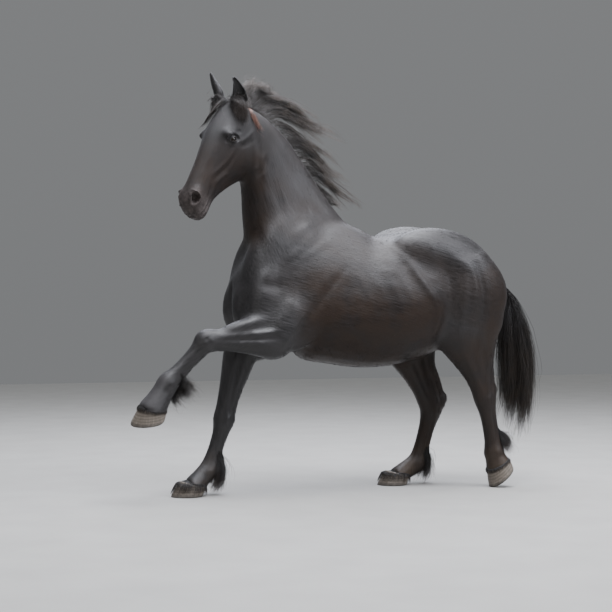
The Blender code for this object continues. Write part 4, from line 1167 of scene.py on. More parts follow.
def between(guides, where):
    """Curves between guides: where is a float from 0 to the last guide's number."""
    low = np.clip(where.astype(int), 0, len(guides) - 2)
    part = (where - low)[:, None, None]
    return guides[low] * (1 - part) + guides[low + 1] * part


def chosen_places(rng, clumps, tongues):
    """Places along the guides, inside stretches given as (from, to, share of the clumps)."""
    stretch = np.array(tongues, float)
    pick = rng.choice(len(stretch), size=clumps, p=stretch[:, 2] / stretch[:, 2].sum())
    return rng.uniform(stretch[pick, 0], stretch[pick, 1])


def grow(rng, guides, count, points, clumps, loose, fan, body, wave, frizz, shortest, tongues=None):
    """Centre lines of strands along guides, gathered in clumps that part towards their tips, and a tone each.

    loose spreads roots along the guides, fan is how far clumps stray and body how thick a clump is."""
    lines = np.array([even_curve(g, points) for g in guides])
    share = np.linspace(0, 1, points)[None, :, None]
    where = chosen_places(rng, clumps, tongues or ((0, len(lines) - 1, 1),))
    core = between(lines, where)
    core += rng.normal(size=(clumps, 1, 3)) * fan * ease(share)
    for turns in (1.0, 2.3, 4.1):
        swing = rng.normal(size=(clumps, 1, 3)) * wave / turns
        phase = rng.random((clumps, 1, 1)) * 2 * math.pi
        core += swing * np.sin(2 * math.pi * turns * share + phase) * share ** 0.8
    length = rng.uniform(shortest, 1.0, clumps)
    pick = rng.integers(clumps, size=count)
    own = np.clip(where[pick] + rng.normal(size=count) * loose, 0, len(lines) - 1)
    made = core[pick].copy()
    root = between(lines, own)[:, :1] + rng.normal(size=(count, 1, 3)) * body * 0.6
    made += (root - made[:, :1]) * (1 - ease(np.clip(share * 1.8, 0, 1)))
    spread = body * (0.55 + 0.75 * share) * np.sqrt(1.02 - share ** 3)
    stray = np.where(rng.random((count, 1, 1)) < 0.08, 2.4, 1.0)
    made += rng.normal(size=(count, 1, 3)) * spread * stray * ease(np.clip(share * 2.5, 0, 1))
    phase = rng.random((count, 1, 1)) * 2 * math.pi
    turns = rng.uniform(2.0, 5.0, (count, 1, 1))
    made += rng.normal(size=(count, 1, 3)) * frizz * np.sin(2 * math.pi * turns * share + phase) * share
    cut = length[pick] * rng.uniform(0.86, 1.0, count)
    index = np.linspace(0, 1, points)[None] * cut[:, None] * (points - 1)
    low = np.minimum(index.astype(int), points - 2)
    part = (index - low)[:, :, None]
    rows = np.arange(count)[:, None]
    tone = np.clip(0.65 * rng.random(clumps)[pick] + 0.35 * rng.random(count), 0, 1)
    return made[rows, low] * (1 - part) + made[rows, low + 1] * part, tone


def clear_of(lines, sink, clear, tested, hug=None):
    """Roots set on the skin and sunk in it, and the first points of each strand lifted clear of it.

    With hug, points that stand further off the skin than that are drawn back to it."""
    tree = skin_surface()[0]
    faces = np.zeros(len(lines), int)
    for i, line in enumerate(lines):
        spot, out, face, _ = tree.find_nearest(Vector(line[0]))
        faces[i] = face
        step = np.array(spot) - np.array(out) * sink - line[0]
        fade = np.clip(1 - np.arange(len(line)) / (0.4 * len(line)), 0, 1)[:, None]
        line += step * fade
        for k in range(1, tested):
            spot, out, _, _ = tree.find_nearest(Vector(line[k]), 0.25)
            if spot is None:
                continue
            rise = (Vector(line[k]) - spot).dot(out)
            need = clear * min(1.0, k / 2)
            if rise < need:
                line[k] += np.array(out) * (need - rise)
            elif hug and rise > hug:
                line[k] += (np.array(spot) - line[k]) * (1 - hug / rise)
    return faces


def strips(rng, lines, thick):
    """Three-sided tapering strands round centre lines, as points, faces, shares and strand numbers."""
    count, points, _ = lines.shape
    ahead = unit(np.gradient(lines, axis=1))
    side = unit(np.cross(ahead, rng.normal(size=(count, 1, 3))))
    over = np.cross(side, ahead)
    share = np.linspace(0, 1, points)[None, :, None]
    size = thick[:, None, None] * (STRAND_TIP + (1 - STRAND_TIP) * (1 - share ** 2.2))
    size = size * (0.6 + 0.4 * ease(np.clip(share * 6, 0, 1)))
    rings = []
    for k in range(STRAND_SIDES):
        turn = 2 * math.pi * k / STRAND_SIDES
        rings.append(lines + size * (side * math.cos(turn) + over * math.sin(turn) * STRAND_FLAT))
    made = np.stack(rings, 2).reshape(-1, 3)
    ring = np.arange(STRAND_SIDES)
    after = (ring + 1) % STRAND_SIDES
    starts = (np.arange(count) * points * STRAND_SIDES)[:, None, None, None]
    step = (np.arange(points - 1) * STRAND_SIDES)[None, :, None, None]
    cell = np.stack([ring, after, after + STRAND_SIDES, ring + STRAND_SIDES], 1)[None, None]
    quads = (starts + step + cell).reshape(-1, 4)
    first = (np.arange(count) * points * STRAND_SIDES)[:, None]
    caps = np.concatenate([first + ring[::-1], first + (points - 1) * STRAND_SIDES + ring])
    along = np.broadcast_to(np.linspace(0, 1, points)[None, :, None], (count, points, STRAND_SIDES)).ravel()
    strand = np.repeat(np.arange(count), points * STRAND_SIDES)
    corner = np.broadcast_to(ring[None, None], (count, points, STRAND_SIDES)).ravel()
    return made, [quads, caps], along, strand, corner


def hair_piece(name, rng, lines, faces, thick, material, rows, slot, *stands_for):
    """One mesh of strands, coloured by rows of values of its strands and patched on the skin's map."""
    made, cells, along, strand, corner = strips(rng, lines, thick)
    values = {"along": along, **{key: row[strand] for key, row in rows.items()}}
    patches = skin_surface()[1][faces][strand] + PATCH * np.stack([corner / 2 - 0.5, along - 0.5], 1)
    piece = piece_from(name, made, cells, values, np.clip(patches, 0, 1))
    piece.data.materials.append(material)
    finish_piece(piece, slot, *stands_for)


# Guides of the mane, roots on the crest from poll to withers, streaming back on the right side.
MANE_STREAM = (
    ((-0.697, -0.085, 2.213), (-0.67, -0.06, 2.298), (-0.608, -0.02, 2.351), (-0.532, 0.02, 2.348),
     (-0.484, 0.05, 2.292)),
    ((-0.657, -0.075, 2.205), (-0.565, -0.02, 2.276), (-0.429, 0.03, 2.269), (-0.286, 0.06, 2.206),
     (-0.115, 0.09, 2.113), (0.058, 0.1, 2.045)),
    ((-0.578, -0.055, 2.179), (-0.478, 0, 2.227), (-0.345, 0.04, 2.182), (-0.213, 0.07, 2.123),
     (-0.085, 0.1, 2.074), (0.023, 0.11, 2.039)),
    ((-0.509, -0.035, 2.122), (-0.412, 0.01, 2.139), (-0.297, 0.05, 2.081), (-0.183, 0.08, 2.02),
     (-0.081, 0.11, 1.963), (-0.005, 0.12, 1.907)),
    ((-0.424, -0.02, 2.031), (-0.334, 0.02, 2.04), (-0.223, 0.06, 1.98), (-0.122, 0.09, 1.911),
     (-0.025, 0.12, 1.847), (0.058, 0.13, 1.791)),
    ((-0.346, -0.01, 1.943), (-0.261, 0.03, 1.946), (-0.16, 0.06, 1.883), (-0.057, 0.09, 1.825),
     (0.034, 0.12, 1.783), (0.097, 0.13, 1.75)),
    ((-0.277, -0.01, 1.853), (-0.198, 0.03, 1.849), (-0.102, 0.06, 1.791), (-0.005, 0.09, 1.731),
     (0.075, 0.11, 1.676), (0.145, 0.12, 1.619)),
    ((-0.214, -0.01, 1.757), (-0.157, 0.02, 1.75), (-0.098, 0.04, 1.706), (-0.042, 0.05, 1.662),
     (0.007, 0.06, 1.617)),
    ((-0.151, -0.01, 1.683), (-0.111, 0.01, 1.674), (-0.074, 0.02, 1.653), (-0.038, 0.03, 1.631),
     (-0.006, 0.03, 1.602)),
)
# Guides of the part that hangs down the right side of the neck.
MANE_FALL = (
    ((-0.7, -0.04, 2.22), (-0.69, 0.04, 2.16), (-0.66, 0.08, 2.04), (-0.6, 0.12, 1.9), (-0.54, 0.15, 1.76)),
    ((-0.6, -0.02, 2.15), (-0.57, 0.08, 2.1), (-0.53, 0.13, 1.97), (-0.46, 0.16, 1.82), (-0.4, 0.18, 1.64)),
    ((-0.5, -0.01, 2.06), (-0.46, 0.09, 2), (-0.41, 0.14, 1.87), (-0.35, 0.17, 1.7), (-0.3, 0.19, 1.54)),
    ((-0.4, -0.01, 1.95), (-0.36, 0.09, 1.89), (-0.31, 0.14, 1.77), (-0.26, 0.17, 1.62), (-0.21, 0.19, 1.49)),
    ((-0.3, -0.01, 1.82), (-0.26, 0.08, 1.77), (-0.21, 0.13, 1.68), (-0.16, 0.15, 1.57), (-0.12, 0.16, 1.48)),
)
# Short curls that stand on the poll behind the ears.
POLL_CURLS = (
    ((-0.705, -0.11, 2.205), (-0.712, -0.08, 2.27), (-0.68, -0.04, 2.335), (-0.625, -0.01, 2.35),
     (-0.585, 0.01, 2.29)),
    ((-0.665, -0.095, 2.2), (-0.64, -0.06, 2.275), (-0.59, -0.02, 2.325), (-0.53, 0.01, 2.31),
     (-0.51, 0.03, 2.24)),
)
# The sun-bleached lock behind the left ear.
RUST_LOCK = (
    ((-0.679, -0.115, 2.2), (-0.672, -0.15, 2.165), (-0.655, -0.165, 2.114), (-0.62, -0.163, 2.065),
     (-0.588, -0.155, 2.03)),
    ((-0.665, -0.105, 2.2), (-0.655, -0.14, 2.165), (-0.638, -0.158, 2.12), (-0.605, -0.158, 2.07),
     (-0.578, -0.152, 2.04)),
)
FORELOCK = (
    ((0.01, 0, 0.03), (-0.035, 0.015, -0.01), (-0.068, 0.05, -0.07), (-0.07, 0.085, -0.13),
     (-0.05, 0.105, -0.17)),
    ((0, 0.02, 0.035), (-0.045, 0.045, 0), (-0.06, 0.08, -0.05), (-0.04, 0.105, -0.11), (0, 0.115, -0.15)),
    ((0.01, -0.01, 0.03), (-0.03, -0.04, 0.01), (-0.035, -0.075, -0.03), (0, -0.102, -0.08),
     (0.035, -0.112, -0.13)),
    ((0.025, -0.02, 0.035), (-0.01, -0.06, 0.01), (0.01, -0.092, -0.03), (0.05, -0.108, -0.07),
     (0.08, -0.112, -0.11)),
)
TAIL_GUIDES = (
    ((0.94, 0.03, 1.215), (1.042, 0, 1.172), (1.108, 0.03, 1.11), (1.19, 0.06, 0.975), (1.245, 0.08, 0.805),
     (1.246, 0.07, 0.582), (1.222, 0.06, 0.3)),
    ((0.945, 0.01, 1.225), (1.052, 0, 1.179), (1.098, 0, 1.105), (1.16, 0, 0.955), (1.196, 0, 0.775),
     (1.196, 0, 0.535), (1.16, 0, 0.215)),
    ((0.935, -0.035, 1.205), (1.034, -0.02, 1.166), (1.064, -0.04, 1.098), (1.098, -0.06, 0.94),
     (1.122, -0.07, 0.763), (1.127, -0.06, 0.54), (1.098, -0.05, 0.262)),
    ((0.945, 0, 1.22), (1.038, 0, 1.16), (1.084, 0.03, 1.081), (1.132, 0.06, 0.926), (1.16, 0.07, 0.74),
     (1.16, 0.07, 0.505), (1.122, 0.05, 0.235)),
    ((0.93, -0.04, 1.19), (1.027, -0.02, 1.148), (1.022, -0.04, 1.055), (1.031, -0.06, 0.902),
     (1.045, -0.06, 0.73), (1.05, -0.05, 0.54), (1.021, -0.04, 0.326)),
    ((0.93, 0.01, 1.17), (1.031, 0, 1.136), (1.03, 0.01, 1.025), (1.028, 0.02, 0.876), (1.034, 0.03, 0.728),
     (1.035, 0.02, 0.58), (1.02, 0.02, 0.426)),
)


def both_sides(outer, inner, middle):
    """Five guides from three, with the outer and the inner one mirrored on the other side."""
    return outer, inner, middle, *([(x, -y, z) for x, y, z in guide] for guide in (inner, outer))


# Feathers, measured from the fetlock.
FORE_FEATHER = both_sides(
    ((0.05, -0.03, 0.06), (0.052, -0.046, -0.01), (0.03, -0.058, -0.07), (-0.03, -0.066, -0.128)),
    ((0.058, -0.016, 0.1), (0.07, -0.022, 0.01), (0.056, -0.034, -0.07), (0.01, -0.042, -0.132)),
    ((0.062, 0, 0.11), (0.078, 0, 0.01), (0.068, 0, -0.07), (0.03, 0, -0.134)),
)
HIND_FEATHER = both_sides(
    ((0.034, -0.034, 0.06), (0.044, -0.042, -0.01), (0.034, -0.052, -0.06), (-0.01, -0.062, -0.118)),
    ((0.05, -0.02, 0.09), (0.062, -0.026, 0), (0.054, -0.036, -0.06), (0.03, -0.042, -0.122)),
    ((0.058, 0, 0.1), (0.07, 0, 0.01), (0.062, 0, -0.06), (0.048, 0, -0.126)),
)
RAISED_FEATHER = (
    ((0.062, -0.022, 0.045), (0.09, -0.032, 0.02), (0.124, -0.034, -0.006), (0.16, -0.032, -0.028)),
    ((0.066, -0.012, 0.02), (0.092, -0.016, -0.01), (0.128, -0.018, -0.036), (0.168, -0.016, -0.056)),
    ((0.06, 0, -0.01), (0.085, 0, -0.035), (0.118, 0, -0.065), (0.15, 0, -0.096)),
    ((0.045, 0.014, -0.035), (0.062, 0.018, -0.058), (0.085, 0.02, -0.078), (0.1, 0.018, -0.098)),
    ((0.02, 0.02, -0.06), (0.032, 0.026, -0.078), (0.044, 0.028, -0.092), (0.05, 0.028, -0.106)),
    ((0.022, 0.008, -0.068), (0.04, 0.012, -0.098), (0.062, 0.012, -0.122), (0.088, 0.01, -0.142)),
)
TIPTOE_FEATHER = both_sides(
    ((0.034, -0.03, 0.09), (0.052, -0.038, 0.04), (0.066, -0.04, -0.005), (0.07, -0.036, -0.035)),
    ((0.042, -0.018, 0.12), (0.072, -0.022, 0.065), (0.092, -0.022, 0.02), (0.112, -0.018, -0.018)),
    ((0.045, 0, 0.14), (0.08, 0, 0.085), (0.098, 0, 0.035), (0.104, 0, -0.014)),
)
FEATHERS = {
    "fore_left": RAISED_FEATHER,
    "fore_right": FORE_FEATHER,
    "hind_left": TIPTOE_FEATHER,
    "hind_right": HIND_FEATHER,
}

@cache
def skin_surface():
    """The skin's tree, each face's place on its map, and its points, in the model's place."""
    mesh = bpy.data.objects["skin"].data
    points = get_points(mesh) - np.array(SHIFT)
    tree = BVHTree.FromPolygons([Vector(p) for p in points], [p.vertices[:] for p in mesh.polygons])
    uv = read(mesh.uv_layers["OFBake"].data, "uv", 2, np.float32)
    totals = np.add.reduceat(uv, read(mesh.polygons, "loop_start"), axis=0)
    return tree, totals / read(mesh.polygons, "loop_total")[:, None], points


# ---- Settings ----


def colour_setting(name, description, code):
    """A colour that can be set, with its hex code at first."""
    return bpy.props.FloatVectorProperty(
        name=name, description=description, default=linear(code), size=4, subtype="COLOR"
    )


class HorseCoatSettings(bpy.types.PropertyGroup):
    """Sizes and colours of the skin and coat."""

    voxel: bpy.props.FloatProperty(
        name="Skin cell", description="Size of the skin's cells on the body", default=0.010, unit="LENGTH"
    )
    tufts: bpy.props.IntProperty(name="Coat tufts", description="Tufts in each coat piece", default=9500)
    coat_deep: colour_setting("Deep coat", "Hair in its own shade", "070606")
    coat_light: colour_setting("Light coat", "Hair where it lifts", "211e1f")
    # The brown stands for sun-burnt hair and also for painted shade on the belly and behind the shoulder.
    coat_sunburn_and_shade: colour_setting("Brown coat", "Hair burnt by the sun", "221811")


class HorseHairSettings(bpy.types.PropertyGroup):
    """Amounts and colours of the long hair."""

    mane_strands: bpy.props.IntProperty(name="Mane strands", description="Strands in each part", default=1840)
    tail_strands: bpy.props.IntProperty(name="Tail strands", description="Strands in each part", default=2050)
    feather_strands: bpy.props.IntProperty(
        name="Feather strands", description="Strands on each foot", default=960
    )
    thickness: bpy.props.FloatProperty(
        name="Strand thickness", description="Half thickness of a strand", default=0.0011, unit="LENGTH"
    )


# ---- Operators ----

BREAST_PASSES = 90
FLESH = ("trunk", "neck", "head", "ear", "forearm", "gaskin", "cannon", "pastern")


def breast(points):
    """How much of the softening between the muscles holds, by place: on breast and shoulders."""
    x, _, z = points.T
    return smooth(-0.12, -0.34, x) * smooth(1.00, 1.12, z) * smooth(1.74, 1.52, z)


def eye_gap(points):
    """How far points lie from the nearer eye."""
    return np.minimum.reduce([np.linalg.norm(points - eye_axes(s)[0], axis=1) for s in (-1, 1)])


def soften_new(mesh, passes):
    """Evens the skin of the head after its faces are cut."""
    head = in_head(get_points(mesh))
    amount = smooth(0.36, 0.30, head[:, 0]) * smooth(0.25, 0.18, np.abs(head[:, 1])) * (head[:, 2] > -0.9)
    relax(mesh, passes, 0.35, 0.30, 0.5, amount * (head[:, 0] > -0.35))


def fine_zone(head, eye, nostril, ears):
    """Vertices near the eyes, the muzzle's openings and the ears."""
    chosen = np.zeros(len(head), bool)
    for s in (-1, 1):
        chosen |= np.linalg.norm(head - np.array((EYE_BACK, EYE_OUT * s, -EYE_DOWN)), axis=1) < eye
        chosen |= np.linalg.norm(head - np.array(mirrored(NOSTRIL_PLACE, s)), axis=1) < nostril
    x, y, z = head.T
    chosen |= (z > ears - 0.02) & (x < 0.05) & (np.abs(y) > 0.03)
    if ears < 1:
        chosen |= (z < -0.57) & (np.abs(y) < 0.15) & (x > 0.01) & (x < 0.2)
    return chosen


def finish_mesh(mesh):
    """Cuts faces of many sides to triangles, and shades all smooth."""
    worked(mesh, lambda bm: bmesh.ops.triangulate(bm, faces=[f for f in bm.faces if len(f.verts) > 4]))
    mesh.polygons.foreach_set("use_smooth", np.ones(len(mesh.polygons), bool))
    mesh.update()


def unwrap(skin):
    """Gives the skin its own UV map."""
    skin.data.uv_layers.new(name="OFBake")
    bpy.ops.object.select_all(action="DESELECT")
    bpy.context.view_layer.objects.active = skin
    skin.select_set(True)
    bpy.ops.object.mode_set(mode="EDIT")
    bpy.ops.mesh.select_all(action="SELECT")
    bpy.ops.uv.smart_project(angle_limit=1.15, island_margin=0.004, scale_to_bounds=True)
    bpy.ops.object.mode_set(mode="OBJECT")
    skin.select_set(False)


class HORSE_OT_skin(bpy.types.Operator):
    """Builds the one skin of the horse, from ears to coronets."""

    bl_idname = "horse.skin"
    bl_label = "Skin"

    def execute(self, context):
        settings = context.scene.horse_coat
        voxel = settings.voxel
        skin = fused("skin", FORMS, voxel)
        mesh = skin.data
        relax(mesh, round(30 * (0.012 / voxel) ** 2))
        relax(mesh, BREAST_PASSES, 0.6, 0.10, 0.5, breast(get_points(mesh)))
        draw_body(mesh)
        relax(mesh, 3, 0.3, 0.3)
        head = in_head(get_points(mesh))
        near = (head[:, 2] > -0.9) & (head[:, 0] < 0.33) & (head[:, 0] > -0.3) & (np.abs(head[:, 1]) < 0.2)
        refined(mesh, near)
        soften_new(mesh, 5)
        draw_head(mesh)
        fine = fine_zone(in_head(get_points(mesh)), 0.052, 0.055, 0.02)
        refined(mesh, fine)
        soften_new(mesh, 4)
        shape_ears(mesh)
        hollow_ears(mesh)
        fine = fine_zone(in_head(get_points(mesh)), 0.036, 0.040, 9.0)
        refined(mesh, fine)
        soften_new(mesh, 3)
        open_nostrils(mesh)
        open_eyes(mesh)
        tuck_feet(mesh)
        points, outs = get_points(mesh), get_points(mesh, "normal")
        set_points(mesh, points - outs * COAT_DEPTH * smooth(0.02, 0.05, eye_gap(points))[:, None])
        finish_mesh(mesh)
        add_values(mesh, coat_values(get_points(mesh)))
        mesh.materials.clear()
        mesh.materials.append(coat_material(settings))
        unwrap(skin)
        flesh = [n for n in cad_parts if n.split("_")[0] in FLESH]
        finish_piece(skin, "coat", *flesh)
        skin_surface.cache_clear()
        return {"FINISHED"}


# Eyeball: its faces round and along, the cornea's rise and the pupil's half sizes, as shares of its radius.
EYE_TURNS, EYE_STEPS = 48, 32
CORNEA_RISE, PUPIL_LONG, PUPIL_HIGH = 0.055, 0.40, 0.20


def ball():
    """An eyeball looking along Z: a round ball with a raised cornea."""
    tilt = math.pi * np.arange(1, EYE_STEPS)[:, None] / EYE_STEPS
    angle = 2 * math.pi * np.arange(EYE_TURNS) / EYE_TURNS
    a, b = np.sin(tilt) * np.cos(angle), np.sin(tilt) * np.sin(angle)
    c = np.cos(tilt) * (1 + CORNEA_RISE * smooth(0.72, 1.0, np.cos(tilt))) * np.ones(EYE_TURNS)
    ends = ((0, 0, 1 + CORNEA_RISE), (0, 0, -1))
    points = np.vstack([np.stack([a, b, c], -1).reshape(-1, 3), ends]) * EYE_RADIUS
    first = (EYE_STEPS - 1) * EYE_TURNS
    grid = np.arange(first).reshape(-1, EYE_TURNS)
    ahead = np.roll(grid, -1, axis=1)
    quads = np.stack([grid[:-1], grid[1:], ahead[1:], ahead[:-1]], -1).reshape(-1, 4)
    top = np.stack([np.full(EYE_TURNS, first), grid[0], ahead[0]], 1)
    low = np.stack([np.full(EYE_TURNS, first + 1), ahead[-1], grid[-1]], 1)
    return points, [quads, np.vstack([top, low])]


def eye_material():
    """A wet cornea over a dark brown iris: nearly black, with one clear highlight."""
    made, node, shade = new_material("moist_cornea_over_brown_iris")
    iris, pupil = (node("Attribute", out="Fac", attribute_name=key) for key in ("iris", "pupil"))
    position = node("TexCoord", out="Object")
    fibre = node("TexNoise", {"Vector": position, "Scale": 900.0, "Detail": 2.0})
    brown = node("ValToRGB", (fibre,), ((0.3, linear("100905")), (0.7, linear("211309"))))
    ring = node("ValToRGB", (iris,), ((0.62, (1, 1, 1, 1)), (0.74, (0, 0, 0, 1))))
    white = node("MixRGB", (ring, linear("120c0a"), brown))
    dark = node("ValToRGB", (pupil,), ((0.9, (0, 0, 0, 1)), (1.08, (1, 1, 1, 1))))
    colour = node("MixRGB", (dark, linear("040303"), white))
    wet = {"Roughness": 0.14, "IOR": 1.376, "Coat Weight": 0.10, "Coat Roughness": 0.05}
    shade({"Base Color": colour, **wet})
    return made


class HORSE_OT_eyes(bpy.types.Operator):
    """Builds both eyeballs, with a bulging cornea over a brown iris and a level pupil."""

    bl_idname = "horse.eyes"
    bl_label = "Eyes"

    def execute(self, context):
        material = eye_material()
        local, faces = ball()
        back = local[:, 2] < 0
        iris = np.hypot(local[:, 0], local[:, 1]) / EYE_RADIUS + back
        pupil = np.hypot(local[:, 0] / PUPIL_LONG, local[:, 1] / PUPIL_HIGH) / EYE_RADIUS + back * 2
        for side, s in (("left", -1), ("right", 1)):
            middle, along, upper, out = eye_axes(s)
            world = middle + local[:, :1] * along + local[:, 1:2] * upper + local[:, 2:] * out
            eye = piece_from("eyeball_" + side, world, faces, {"iris": iris, "pupil": pupil})
            worked(eye.data, face_outwards)
            eye.data.materials.append(material)
            finish_piece(eye, "eyeball", "eye_" + side)
        return {"FINISHED"}


HOOF_TURNS, HOOF_RISE = 72, 18
# The dent between the heels, the deepest chip of the rim, and how closely the growth rings follow each other.
HEEL_NOTCH, CHIP_DEPTH, RIDGE_PACE = 0.010, 0.0035, 44
# The sole from its middle out, as (share of its outline, height), and its wear.
SOLE_RINGS = ((0.06, 0.008), (0.24, 0.0085), (0.48, 0.009), (0.70, 0.007), (0.86, 0.0035), (0.90, 0.0))
SOLE_WEAR = 1.2


def hoof(name, leg, rng):
    """One hoof, with ridges round its wall and a worn edge."""
    turns = np.arange(HOOF_TURNS) * 2 * math.pi / HOOF_TURNS
    c, s = np.cos(turns), np.sin(turns)
    # The sole's outline, drawn in between the heels, and the coronet's.
    notch = HEEL_NOTCH * np.exp(-(s / 0.20) ** 2) * (c > 0)
    low_x = HOOF_HALF_LENGTH * c * (1 - 0.18 * (c > 0) * c ** 2) - notch
    low_y = HOOF_HALF_WIDTH * s * (1 - 0.03 * smooth(0.55, 1.0, c))
    top_x, top_y, top_z = coronet_line(c, s).T
    chips = np.interp(np.arange(HOOF_TURNS), np.linspace(0, HOOF_TURNS, 19), rng.random(19) ** 3) * CHIP_DEPTH
    # Under the horn the white line, the sole and the frog sink.
    rings = []
    for inset, rise in SOLE_RINGS:
        x, y = low_x * inset, low_y * inset
        frog = 0.0085 * np.exp(-(y / 0.011) ** 2) * smooth(-0.030, 0.010, x)
        cleft = 0.0045 * np.exp(-((np.abs(y) - 0.019) / 0.005) ** 2) * smooth(-0.010, 0.020, x)
        z = np.maximum(rise + (cleft - frog) * (inset < 0.80), 0.0 if inset > 0.88 else 0.0012)
        rings.append(np.stack([x, y, z], 1))
    for k in range(HOOF_RISE + 1):
        t = k / HOOF_RISE
        ridge = 0.0007 * math.sin(t * RIDGE_PACE) + 0.0005 * math.sin(t * 71 + 1.3)
        belly = 0.0016 * math.sin(math.pi * t) - 0.0030 * max(0, 1 - t / 0.06)
        x, y = low_x + (top_x - low_x) * t, low_y + (top_y - low_y) * t
        size = np.hypot(x - CORONET_SET_BACK * t, y)
        push = 1 + (ridge * (1 - t) + belly - chips * max(0, 1 - t / 0.10)) / np.maximum(size, 0.01)
        dip = 0.0006 * math.sin(t * RIDGE_PACE) * (1 - c) * 0.5 * (0 < k < HOOF_RISE)
        rings.append(np.stack([x * push, y * push, top_z * t + dip], 1))
    # Over the top the horn turns in to the leg.
    top, middle = rings[-1], np.array((CORONET_SET_BACK, 0, 0))
    for inset, rise in ((0.93, 0.002), (0.55, -0.006)):
        rings.append(middle + (top - middle) * (inset, inset, 1) + (0, 0, rise))
    wear = [SOLE_WEAR] * len(SOLE_RINGS) + [1 - k / HOOF_RISE for k in range(HOOF_RISE + 1)] + [0, 0]
    worn = np.append(np.repeat(wear, HOOF_TURNS), (SOLE_WEAR, 0))
    local = np.vstack([*rings, rings[0].mean(0), rings[-1].mean(0)])
    grid = np.arange(len(local) - 2).reshape(-1, HOOF_TURNS)
    ahead = np.roll(grid, -1, axis=1)
    quads = np.stack([grid[:-1], ahead[:-1], ahead[1:], grid[1:]], -1).reshape(-1, 4)
    low = np.stack([np.full(HOOF_TURNS, len(local) - 2), ahead[0], grid[0]], 1)
    high = np.stack([np.full(HOOF_TURNS, len(local) - 1), grid[-1], ahead[-1]], 1)
    world = from_foot(local, leg)
    world[:, 2] = np.maximum(world[:, 2], 0.0)
    values = {"worn": worn, "height": local[:, 2]}
    piece = piece_from(name, world, [quads, np.vstack([low, high])], values)
    worked(piece.data, lambda bm: bmesh.ops.dissolve_degenerate(bm, dist=1e-6, edges=bm.edges), face_outwards)
    piece.data.polygons.foreach_set("use_smooth", np.ones(len(piece.data.polygons), bool))
    return piece


def horn_material():
    """Hoof horn, grown in rings and trimmed: grey-brown with pale streaks down from the coronet, dry and
    scuffed at the ground, and darker towards the lower edge of the wall and on the sole."""
    made, node, shade = new_material("grown_hoof_horn")
    worn, height = (
        node("Attribute", out="Fac", attribute_name=key) for key in ("worn", "height")
    )
    position = node("TexCoord", out="Object")
    drawn = node("Mapping", {"Vector": position, "Scale": (220.0, 220.0, 14.0)})
    grain = node("TexNoise", {"Vector": drawn, "Scale": 1.0, "Detail": 3.0})
    blotch = node("TexNoise", {"Vector": position, "Scale": 38.0, "Detail": 5.0})
    bands = node("Math", (height, 430.0), operation="MULTIPLY")
    bands = node("Math", (blotch, 3.0, bands), operation="MULTIPLY_ADD")
    bands = node("Math", (bands,), operation="SINE")
    banded = node("MapRange", (bands, -1.0, 1.0, 0.0, 0.45))
    stops = ((0.30, linear("5f584f")), (0.55, linear("6e665d")), (0.75, linear("80786d")))
    colour = node("ValToRGB", (grain,), stops)
    colour = node("MixRGB", (banded, colour, linear("3a3028")))
    scuff = node("Math", (worn, blotch), operation="MULTIPLY")
    scuff = node("MapRange", (scuff, 0.35, 0.75))
    colour = node("MixRGB", (scuff, colour, linear("9b9287")))
    # Darker towards the lower edge of the wall and on the sole.
    rim = node("MapRange", (worn, 0.70, 0.92, 0.0, 0.75))
    colour = node("MixRGB", (rim, colour, linear("2b2724")))
    bump = node("Bump", {"Height": grain, "Strength": 0.5, "Distance": 0.0012})
    shade({"Base Color": colour, "Normal": bump, "Roughness": 0.62})
    return made


class HORSE_OT_hooves(bpy.types.Operator):
    """Builds the four hooves, with growth rings, heels, sole and frog."""

    bl_idname = "horse.hooves"
    bl_label = "Hooves"

    def execute(self, context):
        material = horn_material()
        rng = np.random.default_rng(7)
        for name, leg in LEGS.items():
            piece = hoof("horn_" + name, leg, rng)
            piece.data.materials.append(material)
            finish_piece(piece, "horn", "hoof_" + name)
        return {"FINISHED"}


TUFT_POINTS = 4


def density(p, out):
    """How thickly tufts stand, by place: most on ear rims, chin, jaw, belly and the backs of the legs."""
    head = in_head(p)
    face = lie_weights(p)["face"]
    ears = (head[:, 2] > -0.01) & (head[:, 0] < 0.05) & (np.abs(head[:, 1]) > 0.04)
    chin = face * smooth(-0.58, -0.64, head[:, 2]) * smooth(0.03, 0.08, head[:, 0])
    jaw = face * smooth(0.10, 0.16, head[:, 0])
    legs = smooth(0.95, 0.80, p[:, 2]) * smooth(0.1, 0.5, out[:, 0])
    belly = smooth(-0.2, -0.6, out[:, 2]) * smooth(1.1, 0.9, p[:, 2])
    top = smooth(0.7, 0.9, out[:, 2])
    thick = 0.30 + 3.0 * ears + 1.6 * chin + 0.9 * jaw + 1.6 * legs + 1.0 * belly + 0.5 * top + 0.6 * face
    return thick * (horn_depth(p) < 0)


